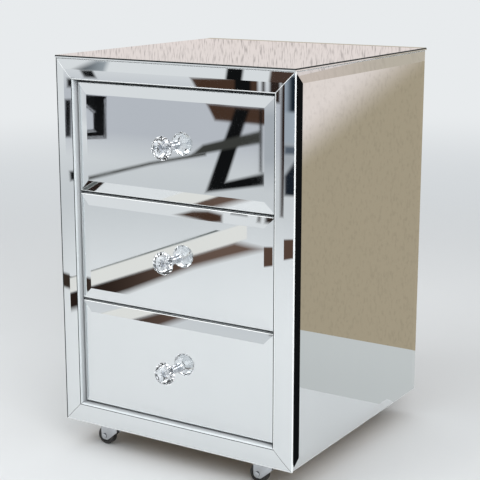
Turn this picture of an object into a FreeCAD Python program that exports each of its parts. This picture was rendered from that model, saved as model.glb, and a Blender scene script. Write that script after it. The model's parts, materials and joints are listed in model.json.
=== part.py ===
"""Bedside chest of three drawers, clad in bevelled mirror glass, on four swivel casters.

Millimetres. +Z is up, the drawers face -Y, and the origin lies on the floor below the middle of the chest.
"""
import FreeCAD
import Part
import Sketcher
import math
import operator
import os
from types import SimpleNamespace

SIZES = {
    # whole chest
    "width": 450.0,
    "depth": 460.0,
    "carcase_height": 622.0,
    "caster_height": 46.0,
    # mirror glass
    "glass": 4.0,
    "bevel_width": 19.0,
    "bevel_drop": 2.4,
    "strip_width": 35.0,
    "strip_bevel": 17.5,
    "top_arris": 0.6,
    # boards of the carcase
    "board": 15.0,
    "frame_depth": 18.0,
    "back_board": 6.0,
    # drawers
    "drawer_side_gap": 2.5,
    "drawer_gap": 3.0,
    "drawer_recess": 8.0,
    "front_board": 15.0,
    "box_lift": 20.0,
    "box_headroom": 30.0,
    "drawer_back_gap": 27.0,
    "box_side": 12.0,
    "box_back": 12.0,
    "box_bottom": 4.0,
    "groove_depth": 5.0,
    "groove_lift": 8.0,
    # telescopic runners
    "slide_width": 12.7,
    "slide_height": 45.0,
    "slide_steel": 1.2,
    "slide_play": 0.3,
    "slide_lift": 50.0,
    "packer_height": 60.0,
    # crystal knobs
    "knob_diameter": 38.0,
    "knob_depth": 25.0,
    "knob_base_length": 13.0,
    "knob_foot_diameter": 14.0,
    "knob_foot_height": 2.5,
    "knob_neck_diameter": 9.0,
    "knob_cup_diameter": 15.0,
    "knob_cup_height": 3.5,
    "knob_screw_diameter": 4.0,
    "knob_screw_grip": 8.0,
    "knob_screw_head_diameter": 8.0,
    "knob_screw_head_height": 2.4,
    # casters
    "caster_inset": 70.0,
    "caster_set_back": 40.0,
    "caster_trail": 11.0,
    "plate_side": 38.0,
    "plate_thickness": 2.5,
    "plate_screw_spacing": 28.0,
    "kingpin_diameter": 8.0,
    "kingpin_head_diameter": 11.0,
    "kingpin_head_height": 1.6,
    "race_diameter": 26.0,
    "fork_steel": 2.0,
    "fork_tail": 18.0,
    "fork_nose": 16.0,
    "fork_nose_depth": 9.0,
    "axle_boss_radius": 6.5,
    "wheel_diameter": 32.0,
    "wheel_width": 14.0,
    "wheel_top_clearance": 2.0,
    "wheel_side_clearance": 0.8,
    "wheel_hub_diameter": 13.0,
    "wheel_tyre": 5.0,
    "wheel_dish": 2.0,
    "tread_round": 3.0,
    "axle_diameter": 5.0,
    "axle_head_diameter": 9.0,
    "axle_head_height": 1.5,
    "plate_screw_diameter": 3.5,
    "plate_screw_length": 12.0,
    "plate_screw_head_diameter": 7.0,
    "plate_screw_head_height": 2.0,
    # clearances
    "running_fit": 0.1,
    "swivel_play": 0.3,
    "screw_play": 0.2,
    "overrun": 2.0,
}

DRAWER_NAMES = ("bottom", "middle", "top")
SIDES = {"left": -1, "right": 1}
ENDS = {"front": 1, "back": -1}

# Crystal head from its cup to its table: radius and depth of each ring, and its turn in steps of a facet
KNOB_FACETS = 12
KNOB_RING_SHARES = (
    (0.40, 0.00, 0.0),
    (0.76, 0.25, 0.5),
    (1.00, 0.52, 0.0),
    (1.00, 0.60, 0.0),
    (0.84, 0.83, 0.5),
    (0.56, 1.00, 0.0),
)

OPERATIONS = {"+": operator.add, "-": operator.sub, "*": operator.mul, "/": operator.truediv}


class Size:
    """A length that keeps its value beside the expression that binds it to the sheet."""

    def __init__(self, value, text):
        self.value = value
        self.text = text

    def joined(self, sign, other):
        other = as_size(other)
        value = OPERATIONS[sign](self.value, other.value)
        return Size(value, f"({self.text} {sign} {other.text})")

    def __add__(self, other):
        return self.joined("+", other)

    def __sub__(self, other):
        return self.joined("-", other)

    def __mul__(self, other):
        return self.joined("*", other)

    def __rmul__(self, other):
        return as_size(other).joined("*", self)

    def __truediv__(self, other):
        return self.joined("/", other)

    def __neg__(self):
        return Size(-self.value, f"(-{self.text})")


def as_size(number):
    """Give a plain number the form of a Size."""
    return number if isinstance(number, Size) else Size(number, repr(number))


S = SimpleNamespace(**{name: Size(value, f"Sizes.{name}") for name, value in SIZES.items()})

# Levels and planes that several pieces share
HALF_WIDTH = S.width / 2
BOARD_HALF = HALF_WIDTH - S.glass
CARCASE_HALF = BOARD_HALF - S.board
OPENING_HALF = HALF_WIDTH - S.strip_width
FLOOR = S.caster_height
CEILING = FLOOR + S.carcase_height
KNOB_REACH = S.knob_base_length + S.knob_depth
FRONT = (KNOB_REACH - S.drawer_recess - S.depth) / 2
BACK = FRONT + S.depth
FRAME_FACE = FRONT + S.glass
FRAME_BACK = FRAME_FACE + S.frame_depth
PANEL_BACK = BACK - S.back_board
DRAWER_COUNT = len(DRAWER_NAMES)
OPENING_HEIGHT = S.carcase_height - 2 * S.strip_width
DRAWER_HEIGHT = (OPENING_HEIGHT - (DRAWER_COUNT + 1) * S.drawer_gap) / DRAWER_COUNT
DRAWER_PITCH = DRAWER_HEIGHT + S.drawer_gap
DRAWER_HALF = OPENING_HALF - S.drawer_side_gap
MIRROR_FACE = FRONT + S.drawer_recess
MIRROR_BACK = MIRROR_FACE + S.glass
BOX_FRONT = MIRROR_BACK + S.front_board
BOX_BACK = PANEL_BACK - S.drawer_back_gap
BOX_HALF = OPENING_HALF - S.slide_width
BOX_INNER_HALF = BOX_HALF - S.box_side
KNOB_HOLE = S.knob_screw_diameter + 2 * S.screw_play
CROWN_UNDER = S.wheel_diameter + S.wheel_top_clearance
CROWN_TOP = CROWN_UNDER + S.fork_steel
PLATE_UNDER = FLOOR - S.plate_thickness
AXLE_HEIGHT = S.wheel_diameter / 2
FORK_SLOT = S.wheel_width + 2 * S.wheel_side_clearance
FORK_WIDTH = FORK_SLOT + 2 * S.fork_steel

X_AXIS = FreeCAD.Vector(1, 0, 0)
Y_AXIS = FreeCAD.Vector(0, 1, 0)
Z_AXIS = FreeCAD.Vector(0, 0, 1)
UPRIGHT = FreeCAD.Rotation()
FACING_FRONT = FreeCAD.Rotation(X_AXIS, Z_AXIS, -Y_AXIS, "XYZ")
FACING_RIGHT = FreeCAD.Rotation(Y_AXIS, Z_AXIS, X_AXIS, "XYZ")
FACING_LEFT = FreeCAD.Rotation(-Y_AXIS, Z_AXIS, -X_AXIS, "XYZ")
UPSIDE_DOWN = FreeCAD.Rotation(X_AXIS, 180)

doc = FreeCAD.newDocument("mirrored_chest")
pieces = []


def fill_sheet():
    """Write the driving dimensions to the sheet, one row each."""
    sheet = doc.addObject("Spreadsheet::Sheet", "Sizes")
    for row, (name, value) in enumerate(SIZES.items(), start=1):
        sheet.set(f"A{row}", name)
        sheet.set(f"B{row}", str(value))
        sheet.setAlias(f"B{row}", name)
    doc.recompute()


def bind(thing, **sizes):
    """Bind properties of an object to the sheet."""
    for name, size in sizes.items():
        thing.setExpression(name, as_size(size).text)


def place(thing, x, y, z, turn=UPRIGHT):
    """Turn an object and bind its position to the sheet."""
    thing.Placement = FreeCAD.Placement(FreeCAD.Vector(), turn)
    for axis, size in zip("xyz", (x, y, z)):
        thing.setExpression(f"Placement.Base.{axis}", as_size(size).text)
    return thing


def keep(thing):
    """List an object as a piece of the chest."""
    pieces.append(thing)
    return thing


def box(name, x, y, z):
    """Make a block from the lower and upper bound on each axis."""
    block = doc.addObject("Part::Box", name)
    lows = [as_size(low) for low, high in (x, y, z)]
    highs = [as_size(high) for low, high in (x, y, z)]
    spans = [high - low for low, high in zip(lows, highs)]
    bind(block, Length=spans[0], Width=spans[1], Height=spans[2])
    return place(block, *lows)


def rod(name, diameter, length, x, y, z, turn=UPRIGHT):
    """Make a round bar that starts at a point and runs along the turned Z axis."""
    bar = doc.addObject("Part::Cylinder", name)
    bind(bar, Radius=diameter / 2, Height=length)
    return place(bar, x, y, z, turn)


def fuse(name, shapes):
    """Join shapes to one solid."""
    joined = doc.addObject("Part::MultiFuse", name)
    joined.Shapes = shapes
    return joined


def cut(name, base, tools):
    """Take tools away from a base."""
    result = doc.addObject("Part::Cut", name)
    result.Base = base
    result.Tool = tools[0] if len(tools) == 1 else fuse(f"{name}_cutters", tools)
    return result


def group(name, members):
    """Hold identical separate solids in one piece."""
    held = doc.addObject("Part::Compound", name)
    held.Links = members
    return held


def mirrored(side, near, far):
    """Give the bounds along X of something that lies between two distances from the middle plane."""
    return (near, far) if side > 0 else (-far, -near)


def origin_plane(body, role):
    """Find one of the origin planes of a body."""
    return next(plane for plane in body.Origin.OriginFeatures if plane.Role == role)


def new_sketch(body, name, role):
    """Add an empty sketch on an origin plane of a body."""
    sketch = body.newObject("Sketcher::SketchObject", name)
    sketch.AttachmentSupport = [(origin_plane(body, role), "")]
    sketch.MapMode = "FlatFace"
    return sketch


def fix_point(sketch, edge, point, corner):
    """Bind a point of a sketch to its two distances from the sketch's origin."""
    rules = (("DistanceX", corner[0], -2), ("DistanceY", corner[1], -1))
    for kind, size, axis in rules:
        size = as_size(size)
        if size.value == 0:
            sketch.addConstraint(Sketcher.Constraint("PointOnObject", edge, point, axis))
            continue
        index = sketch.addConstraint(Sketcher.Constraint(kind, -1, 1, edge, point, size.value))
        label = f"{kind}_{edge}_{point}"
        sketch.renameConstraint(index, label)
        sketch.setExpression(f"Constraints.{label}", size.text)


def add_polygon(sketch, corners):
    """Draw a closed outline through corners given as pairs of sizes."""
    points = [FreeCAD.Vector(as_size(across).value, as_size(along).value) for across, along in corners]
    count = len(points)
    first = sketch.GeometryCount
    for index in range(count):
        sketch.addGeometry(Part.LineSegment(points[index], points[(index + 1) % count]))
    for index in range(count):
        following = first + (index + 1) % count
        sketch.addConstraint(Sketcher.Constraint("Coincident", first + index, 2, following, 1))
    for index, corner in enumerate(corners):
        fix_point(sketch, first + index, 1, corner)


def add_circle(sketch, diameter, centre):
    """Draw a circle about a centre given as a pair of sizes."""
    middle = FreeCAD.Vector(centre[0].value, centre[1].value)
    edge = sketch.addGeometry(Part.Circle(middle, Z_AXIS, diameter.value / 2))
    index = sketch.addConstraint(Sketcher.Constraint("Diameter", edge, diameter.value))
    label = f"diameter_{edge}"
    sketch.renameConstraint(index, label)
    sketch.setExpression(f"Constraints.{label}", diameter.text)
    fix_point(sketch, edge, 3, centre)


def add_feature(body, kind, name, sketch, reverse=False):
    """Add a feature that draws its profile from a sketch."""
    feature = body.newObject(f"PartDesign::{kind}", name)
    feature.Profile = sketch
    feature.Reversed = reverse
    return feature


def pad(body, name, sketch, length, reverse=False):
    """Raise a sketch to a solid."""
    feature = add_feature(body, "Pad", name, sketch, reverse)
    bind(feature, Length=length)
    doc.recompute()
    return feature


def pocket_through(body, name, sketch, reverse=False):
    """Cut a sketch through the whole solid on one side of its plane, and make sure that it cuts."""
    before = body.Shape.Volume
    feature = add_feature(body, "Pocket", name, sketch, reverse)
    feature.Type = "ThroughAll"
    doc.recompute()
    if body.Shape.Volume >= before:
        raise RuntimeError(f"{body.Label}: {name} cuts nothing")
    return feature


def revolve(body, name, sketch):
    """Turn a sketch once round its own upright axis."""
    feature = add_feature(body, "Revolution", name, sketch)
    feature.ReferenceAxis = (sketch, ["V_Axis"])
    doc.recompute()
    return feature


def edges_where(shape, test):
    """Name the edges of a shape that pass a test."""
    return [f"Edge{number}" for number, edge in enumerate(shape.Edges, start=1) if test(edge)]


def straight_at(edge, height):
    """Tell whether an edge is straight and lies level at a height."""
    level = all(math.isclose(vertex.Z, height, abs_tol=1e-6) for vertex in edge.Vertexes)
    return level and edge.Curve.TypeId == "Part::GeomLine"


def bevel(body, base, drop, width, test):
    """Grind a flat slope along the chosen edges of the front face."""
    feature = body.newObject("PartDesign::Chamfer", "bevel")
    feature.Base = (base, edges_where(base.Shape, test))
    feature.ChamferType = "Two distances"
    bind(feature, Size=drop, Size2=width)
    doc.recompute()


def pane(name, across, up, drop, slope, hole=None):
    """Make a rectangular mirror, bevelled round its front face, with a hole in its middle if asked."""
    body = doc.addObject("PartDesign::Body", name)
    outline = new_sketch(body, f"{name}_outline", "XY_Plane")
    add_polygon(outline, ((0, 0), (across, 0), (across, up), (0, up)))
    if hole:
        add_circle(outline, hole, (across / 2, up / 2))
    sheet = pad(body, f"{name}_sheet", outline, S.glass)
    bevel(body, sheet, drop, slope, lambda edge: straight_at(edge, S.glass.value))
    return body


def strip(name, length):
    """Make a mitred strip of mirror glass, bevelled along its outer edge."""
    body = doc.addObject("PartDesign::Body", name)
    outline = new_sketch(body, f"{name}_outline", "XY_Plane")
    inner = S.strip_width
    add_polygon(outline, ((0, 0), (length, 0), (length - inner, inner), (inner, inner)))
    sheet = pad(body, f"{name}_sheet", outline, S.glass)

    def outer_edge(edge):
        return straight_at(edge, S.glass.value) and edge.BoundBox.YMax < inner.value / 2

    bevel(body, sheet, S.bevel_drop, S.strip_bevel, outer_edge)
    return body


def make_carcase():
    """Boards, face frame and runner packers."""
    upright = (FLOOR, CEILING)
    behind_frame = (FRAME_BACK, PANEL_BACK)
    between_sides = (-CARCASE_HALF, CARCASE_HALF)
    for label, side in SIDES.items():
        keep(box(f"side_panel_{label}", mirrored(side, CARCASE_HALF, BOARD_HALF), behind_frame, upright))
    keep(box("top_panel", between_sides, behind_frame, (CEILING - S.board, CEILING)))
    base = box("bottom_blank", between_sides, behind_frame, (FLOOR, FLOOR + S.board))
    keep(cut("bottom_panel", base, caster_pilots()))
    keep(box("back_panel", (-BOARD_HALF, BOARD_HALF), (PANEL_BACK, BACK), upright))
    frame = (FRAME_FACE, FRAME_BACK)
    stiles = [
        box(f"stile_{label}", mirrored(side, OPENING_HALF, BOARD_HALF), frame, upright)
        for label, side in SIDES.items()
    ]
    keep(group("frame_stiles", stiles))
    opening = (-OPENING_HALF, OPENING_HALF)
    rails = [
        box("rail_bottom", opening, frame, (FLOOR, FLOOR + S.strip_width)),
        box("rail_top", opening, frame, (CEILING - S.strip_width, CEILING)),
    ]
    keep(group("frame_rails", rails))
    packers = []
    for level, name in enumerate(DRAWER_NAMES):
        low = slide_centre(level) - S.packer_height / 2
        for label, side in SIDES.items():
            across = mirrored(side, OPENING_HALF, CARCASE_HALF)
            packers.append(box(f"packer_{name}_{label}", across, behind_frame, (low, low + S.packer_height)))
    keep(group("slide_packers", packers))


def make_cladding():
    """Mirror glass on the top, the sides and the front frame."""
    top = pane("top_mirror", S.width, S.depth, S.top_arris, S.top_arris)
    keep(place(top, -HALF_WIDTH, FRONT, CEILING))
    run = S.depth - S.glass
    right = pane("side_mirror_right", run, S.carcase_height, S.bevel_drop, S.bevel_width)
    keep(place(right, BOARD_HALF, FRAME_FACE, FLOOR, FACING_RIGHT))
    left = pane("side_mirror_left", run, S.carcase_height, S.bevel_drop, S.bevel_width)
    keep(place(left, -BOARD_HALF, BACK, FLOOR, FACING_LEFT))
    strips = (
        ("bottom", S.width, 0, -HALF_WIDTH, FLOOR),
        ("right", S.carcase_height, -90, HALF_WIDTH, FLOOR),
        ("top", S.width, 180, HALF_WIDTH, CEILING),
        ("left", S.carcase_height, 90, -HALF_WIDTH, CEILING),
    )
    for label, length, angle, x, z in strips:
        turn = FreeCAD.Rotation(Y_AXIS, angle) * FACING_FRONT
        keep(place(strip(f"frame_mirror_{label}", length), x, FRAME_FACE, z, turn))


def drawer_floor(level):
    """Height of the lower edge of a drawer front."""
    return FLOOR + S.strip_width + S.drawer_gap + level * DRAWER_PITCH


def slide_centre(level):
    """Height of the middle of a drawer's runners."""
    return drawer_floor(level) + S.box_lift + S.slide_lift


def channel(name, across, hollow, height, level):
    """Make a steel channel along Y, open on the side where its hollow runs out."""
    low = slide_centre(level) - height / 2
    along = (BOX_FRONT, BOX_BACK)
    past = (along[0] - S.overrun, along[1] + S.overrun)
    blank = box(f"{name}_blank", across, along, (low, low + height))
    room = box(f"{name}_room", hollow, past, (low + S.slide_steel, low + height - S.slide_steel))
    return cut(name, blank, [room])


def make_runners():
    """Telescopic runners: a member on the cabinet, a carrier and a member on the drawer, nested with play."""
    step = S.slide_steel + S.slide_play
    cabinet_height = S.slide_height
    carrier_height = cabinet_height - 2 * step
    drawer_height = carrier_height - 2 * step
    lip = BOX_HALF + step
    cabinet_members = []
    for level, name in enumerate(DRAWER_NAMES):
        carriers = []
        drawer_members = []
        for label, side in SIDES.items():
            own = f"{name}_{label}"
            web = OPENING_HALF
            across = mirrored(side, lip, web)
            hollow = mirrored(side, lip - S.overrun, web - S.slide_steel)
            cabinet_members.append(channel(f"cabinet_member_{own}", across, hollow, cabinet_height, level))
            web = web - step
            across = mirrored(side, lip, web)
            hollow = mirrored(side, lip - S.overrun, web - S.slide_steel)
            carriers.append(channel(f"carrier_{own}", across, hollow, carrier_height, level))
            edge = web - step
            across = mirrored(side, BOX_HALF, edge)
            hollow = mirrored(side, BOX_HALF + S.slide_steel, edge + S.overrun)
            drawer_members.append(channel(f"drawer_member_{own}", across, hollow, drawer_height, level))
        keep(group(f"{name}_drawer_slide_carriers", carriers))
        keep(group(f"{name}_drawer_slide_members", drawer_members))
    keep(group("slide_cabinet_members", cabinet_members))


def make_drawer(name, level):
    """Front board with its mirror, box sides, back and bottom, and the knob."""
    low = drawer_floor(level)
    middle = low + DRAWER_HEIGHT / 2
    box_low = low + S.box_lift
    box_high = low + DRAWER_HEIGHT - S.box_headroom
    groove = (box_low + S.groove_lift, box_low + S.groove_lift + S.box_bottom)
    in_groove = BOX_INNER_HALF + S.groove_depth
    front_run = (MIRROR_BACK, BOX_FRONT)
    blank = box(f"{name}_front_blank", (-DRAWER_HALF, DRAWER_HALF), front_run, (low, low + DRAWER_HEIGHT))
    reach = S.front_board + 2 * S.overrun
    hole = rod(f"{name}_front_hole", KNOB_HOLE, reach, 0, BOX_FRONT + S.overrun, middle, FACING_FRONT)
    slot_run = (BOX_FRONT - S.groove_depth, BOX_FRONT + S.overrun)
    slot = box(f"{name}_front_groove", (-in_groove, in_groove), slot_run, groove)
    keep(cut(f"{name}_drawer_front", blank, [hole, slot]))
    sides = []
    for label, side in SIDES.items():
        own = f"{name}_{label}_side"
        board_run = mirrored(side, BOX_INNER_HALF, BOX_HALF)
        board = box(f"{own}_blank", board_run, (BOX_FRONT, BOX_BACK), (box_low, box_high))
        trench_run = mirrored(side, BOX_INNER_HALF - S.overrun, in_groove)
        trench_length = (BOX_FRONT - S.overrun, BOX_BACK + S.overrun)
        trench = box(f"{own}_groove", trench_run, trench_length, groove)
        sides.append(cut(own, board, [trench]))
    keep(group(f"{name}_drawer_sides", sides))
    between = (-BOX_INNER_HALF, BOX_INNER_HALF)
    keep(box(f"{name}_drawer_back", between, (BOX_BACK - S.box_back, BOX_BACK), (groove[1], box_high)))
    bottom_run = (BOX_FRONT - S.groove_depth, BOX_BACK)
    keep(box(f"{name}_drawer_bottom", (-in_groove, in_groove), bottom_run, groove))
    across = 2 * DRAWER_HALF
    glass = pane(f"{name}_drawer_mirror", across, DRAWER_HEIGHT, S.bevel_drop, S.bevel_width, KNOB_HOLE)
    keep(place(glass, -DRAWER_HALF, MIRROR_BACK, low, FACING_FRONT))
    make_knob(name, middle)


def make_knob(name, middle):
    """Turned metal base, faceted crystal head and the screw that holds them through the drawer front."""
    base = doc.addObject("PartDesign::Body", f"{name}_knob_base")
    profile = new_sketch(base, f"{name}_knob_base_profile", "XZ_Plane")
    bore = KNOB_HOLE / 2
    foot = S.knob_foot_diameter / 2
    neck = S.knob_neck_diameter / 2
    cup = S.knob_cup_diameter / 2
    cup_low = S.knob_base_length - S.knob_cup_height
    corners = (
        (bore, 0),
        (foot, 0),
        (foot, S.knob_foot_height),
        (neck, 2 * S.knob_foot_height),
        (neck, cup_low),
        (cup, S.knob_base_length),
        (bore, S.knob_base_length),
    )
    add_polygon(profile, corners)
    revolve(base, f"{name}_knob_base_turning", profile)
    keep(place(base, 0, MIRROR_FACE, middle, FACING_FRONT))

    crystal = doc.addObject("Part::Feature", f"{name}_knob")
    crystal.Shape = crystal_head()
    keep(place(crystal, 0, MIRROR_FACE - S.knob_base_length, middle, FACING_FRONT))

    grip = S.knob_screw_grip - S.screw_play
    shank_length = S.front_board + S.glass + S.knob_base_length + grip
    start = (0, BOX_FRONT, middle)
    shank = rod(f"{name}_screw_shank", S.knob_screw_diameter, shank_length, *start, FACING_FRONT)
    height = S.knob_screw_head_height
    start = (0, BOX_FRONT + height, middle)
    head = rod(f"{name}_screw_head", S.knob_screw_head_diameter, height, *start, FACING_FRONT)
    keep(fuse(f"{name}_knob_screw", [shank, head]))


def crystal_head():
    """Cut a faceted head: rings of corners joined by flat facets, with a threaded socket in its back."""
    sheet = doc.Sizes
    radius = float(sheet.knob_diameter) / 2
    depth = float(sheet.knob_depth)
    step = 2 * math.pi / KNOB_FACETS
    rings = []
    for radius_share, depth_share, turn in KNOB_RING_SHARES:
        angles = [step * (index + turn) for index in range(KNOB_FACETS)]
        reach = radius * radius_share
        height = depth * depth_share
        rings.append([FreeCAD.Vector(reach * math.cos(a), reach * math.sin(a), height) for a in angles])
    facets = [flat_face(rings[0]), flat_face(rings[-1])]
    for row, (lower, upper) in enumerate(zip(rings, rings[1:])):
        turns = KNOB_RING_SHARES[row + 1][2] - KNOB_RING_SHARES[row][2]
        facets += facet_band(lower, upper, turns)
    solid = Part.Solid(Part.Shell(facets))
    socket_radius = float(sheet.knob_screw_diameter) / 2 + float(sheet.screw_play)
    overrun = float(sheet.overrun)
    socket_depth = float(sheet.knob_screw_grip) + overrun
    socket = Part.makeCylinder(socket_radius, socket_depth, FreeCAD.Vector(0, 0, -overrun))
    return solid.cut(socket)


def flat_face(corners):
    """Close a loop of corners with one flat face."""
    return Part.Face(Part.makePolygon([*corners, corners[0]]))


def facet_band(lower, upper, turns):
    """Join two rings: upright facets where corners line up, triangles where turned half a step."""
    count = len(lower)
    faces = []
    for index in range(count):
        following = (index + 1) % count
        if turns == 0:
            faces.append(flat_face([lower[index], lower[following], upper[following], upper[index]]))
        elif turns > 0:
            faces.append(flat_face([lower[index], lower[following], upper[index]]))
            faces.append(flat_face([upper[index], lower[following], upper[following]]))
        else:
            faces.append(flat_face([lower[index], upper[following], upper[index]]))
            faces.append(flat_face([lower[index], lower[following], upper[following]]))
    return faces


def caster_centres():
    """Name each caster and give the place of its swivel axis."""
    centres = {}
    for end_label, end in ENDS.items():
        y = FRONT + S.caster_set_back if end > 0 else BACK - S.caster_set_back
        for side_label, side in SIDES.items():
            centres[f"{end_label}_{side_label}"] = (side * (HALF_WIDTH - S.caster_inset), y)
    return centres


def screw_places(x, y):
    """Give the places of the four screws round a swivel axis."""
    spread = S.plate_screw_spacing / 2
    return [(x + across * spread, y + along * spread) for across in (-1, 1) for along in (-1, 1)]


def all_screw_places():
    """Give the place of every screw in the caster plates."""
    return [spot for x, y in caster_centres().values() for spot in screw_places(x, y)]


def caster_pilots():
    """Pilot holes for the caster screws, cut in the bottom board."""
    diameter = S.plate_screw_diameter + 2 * S.running_fit
    depth = S.plate_screw_length - S.plate_thickness + S.screw_play
    return [
        rod(f"pilot_{index}", diameter, depth + S.overrun, x, y, FLOOR - S.overrun)
        for index, (x, y) in enumerate(all_screw_places())
    ]


def make_caster_plates():
    """Steel plates with riveted kingpins, and the screws that hold them to the bottom board."""
    half = S.plate_side / 2
    through = S.plate_thickness + 2 * S.overrun
    hole = S.plate_screw_diameter + 2 * S.screw_play
    head_top = CROWN_UNDER - S.swivel_play
    head_low = head_top - S.kingpin_head_height
    plates = []
    for label, (x, y) in caster_centres().items():
        sheet = box(f"plate_sheet_{label}", (x - half, x + half), (y - half, y + half), (PLATE_UNDER, FLOOR))
        pin = rod(f"kingpin_{label}", S.kingpin_diameter, FLOOR - head_low, x, y, head_low)
        head = rod(f"kingpin_head_{label}", S.kingpin_head_diameter, S.kingpin_head_height, x, y, head_low)
        holes = [
            rod(f"plate_hole_{label}", hole, through, *spot, PLATE_UNDER - S.overrun)
            for spot in screw_places(x, y)
        ]
        plates.append(cut(f"plate_{label}", fuse(f"plate_blank_{label}", [sheet, pin, head]), holes))
    keep(group("caster_plates", plates))
    screws = []
    for index, (x, y) in enumerate(all_screw_places()):
        shank = rod(f"plate_shank_{index}", S.plate_screw_diameter, S.plate_screw_length, x, y, PLATE_UNDER)
        height = S.plate_screw_head_height
        head = rod(f"plate_head_{index}", S.plate_screw_head_diameter, height, x, y, PLATE_UNDER - height)
        screws.append(fuse(f"plate_screw_{index}", [shank, head]))
    keep(group("caster_screws", screws))


def make_fork(label, x, y):
    """Pressed fork with a ball race on its crown, modelled upside down from the top of the crown."""
    body = doc.addObject("PartDesign::Body", f"caster_{label}_fork")
    axle_x = S.fork_tail - S.caster_trail
    axle_drop = CROWN_TOP - AXLE_HEIGHT
    leg_end = axle_drop + S.axle_boss_radius
    profile = new_sketch(body, f"{label}_fork_profile", "XZ_Plane")
    corners = (
        (0, 0),
        (S.fork_tail + S.fork_nose, 0),
        (S.fork_tail + S.fork_nose, S.fork_nose_depth),
        (axle_x + S.axle_boss_radius, leg_end),
        (axle_x - S.axle_boss_radius, leg_end),
    )
    add_polygon(profile, corners)
    legs = pad(body, f"{label}_fork_legs", profile, FORK_WIDTH, reverse=True)
    rounding = body.newObject("PartDesign::Fillet", f"{label}_fork_rounding")
    lowest = leg_end.value
    rounding.Base = (legs, edges_where(legs.Shape, lambda edge: at_leg_end(edge, lowest)))
    bind(rounding, Radius=S.axle_boss_radius)
    doc.recompute()
    slot = new_sketch(body, f"{label}_fork_slot_outline", "YZ_Plane")
    slot_end = leg_end + S.overrun
    inner = S.fork_steel
    outer = FORK_WIDTH - S.fork_steel
    add_polygon(slot, ((inner, S.fork_steel), (outer, S.fork_steel), (outer, slot_end), (inner, slot_end)))
    pocket_through(body, f"{label}_fork_slot", slot, reverse=True)
    eye = new_sketch(body, f"{label}_fork_eye_outline", "XZ_Plane")
    add_circle(eye, S.axle_diameter + 2 * S.running_fit, (axle_x, axle_drop))
    pocket_through(body, f"{label}_fork_eye", eye)
    race = new_sketch(body, f"{label}_fork_race_outline", "XY_Plane")
    centre = (S.fork_tail, FORK_WIDTH / 2)
    add_circle(race, S.race_diameter, centre)
    race_height = PLATE_UNDER - S.swivel_play - CROWN_TOP
    pad(body, f"{label}_fork_race", race, race_height, reverse=True)
    bore = new_sketch(body, f"{label}_fork_bore_outline", "XY_Plane")
    add_circle(bore, S.kingpin_diameter + 2 * S.running_fit, centre)
    drilled = pocket_through(body, f"{label}_fork_bore", bore)
    drilled.SideType = "Symmetric"
    doc.recompute()
    keep(place(body, x - S.fork_tail, y + FORK_WIDTH / 2, CROWN_TOP, UPSIDE_DOWN))


def at_leg_end(edge, height):
    """Tell whether an edge runs across the fork at the end of its legs."""
    ends = edge.Vertexes
    level = all(math.isclose(vertex.Z, height, abs_tol=1e-6) for vertex in ends)
    return level and not math.isclose(ends[0].Y, ends[-1].Y, abs_tol=1e-6)


def make_wheel(label, x, y):
    """Moulded wheel with a hub, a dished web and a rounded tread."""
    body = doc.addObject("PartDesign::Body", f"caster_{label}_wheel")
    profile = new_sketch(body, f"{label}_wheel_profile", "XZ_Plane")
    bore = S.axle_diameter / 2 + S.running_fit
    hub = S.wheel_hub_diameter / 2
    rim = S.wheel_diameter / 2 - S.wheel_tyre
    tread = S.wheel_diameter / 2
    wide = S.wheel_width
    dish = S.wheel_dish
    corners = (
        (bore, 0),
        (hub, 0),
        (hub, dish),
        (rim, dish),
        (rim, 0),
        (tread, 0),
        (tread, wide),
        (rim, wide),
        (rim, wide - dish),
        (hub, wide - dish),
        (hub, wide),
        (bore, wide),
    )
    add_polygon(profile, corners)
    turned = revolve(body, f"{label}_wheel_turning", profile)
    rounding = body.newObject("PartDesign::Fillet", f"{label}_wheel_rounding")
    rounding.Base = (turned, edges_where(turned.Shape, lambda edge: on_circle(edge, tread.value)))
    bind(rounding, Radius=S.tread_round)
    doc.recompute()
    keep(place(body, x - S.caster_trail, y + wide / 2, AXLE_HEIGHT, FACING_FRONT))


def on_circle(edge, radius):
    """Tell whether an edge is a circle of a radius."""
    return edge.Curve.TypeId == "Part::GeomCircle" and math.isclose(edge.Curve.Radius, radius, abs_tol=1e-6)


def make_axle(label, x, y):
    """Rivet that carries the wheel between the legs of the fork."""
    back_face = y + FORK_WIDTH / 2
    front_face = y - FORK_WIDTH / 2
    height = S.axle_head_height
    stretches = (
        ("shank", S.axle_diameter, FORK_WIDTH, back_face),
        ("back_head", S.axle_head_diameter, height, back_face + height),
        ("front_head", S.axle_head_diameter, height, front_face),
    )
    bars = [
        rod(f"{label}_axle_{name}", diameter, length, x - S.caster_trail, start, AXLE_HEIGHT, FACING_FRONT)
        for name, diameter, length, start in stretches
    ]
    keep(fuse(f"caster_{label}_axle", bars))


def check_document():
    """Stop if any object failed or any piece has no sound shape."""
    doc.recompute()
    for thing in doc.Objects:
        if "Invalid" in thing.State or "Error" in thing.State:
            raise RuntimeError(f"{thing.Label}: {thing.State}")
    for thing in pieces:
        if thing.Shape.isNull() or not thing.Shape.isValid() or not thing.Shape.Solids:
            raise RuntimeError(f"{thing.Label}: unsound shape")


def write_pieces():
    """Write each piece to a file named after it."""
    os.makedirs("parts", exist_ok=True)
    for thing in pieces:
        thing.Shape.exportStep(f"parts/{thing.Label}.step")


def main():
    """Build the chest and write its pieces."""
    fill_sheet()
    make_carcase()
    make_cladding()
    make_runners()
    for level, name in enumerate(DRAWER_NAMES):
        make_drawer(name, level)
    make_caster_plates()
    for label, (x, y) in caster_centres().items():
        make_fork(label, x, y)
        make_wheel(label, x, y)
        make_axle(label, x, y)
    check_document()
    write_pieces()


main()
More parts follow.
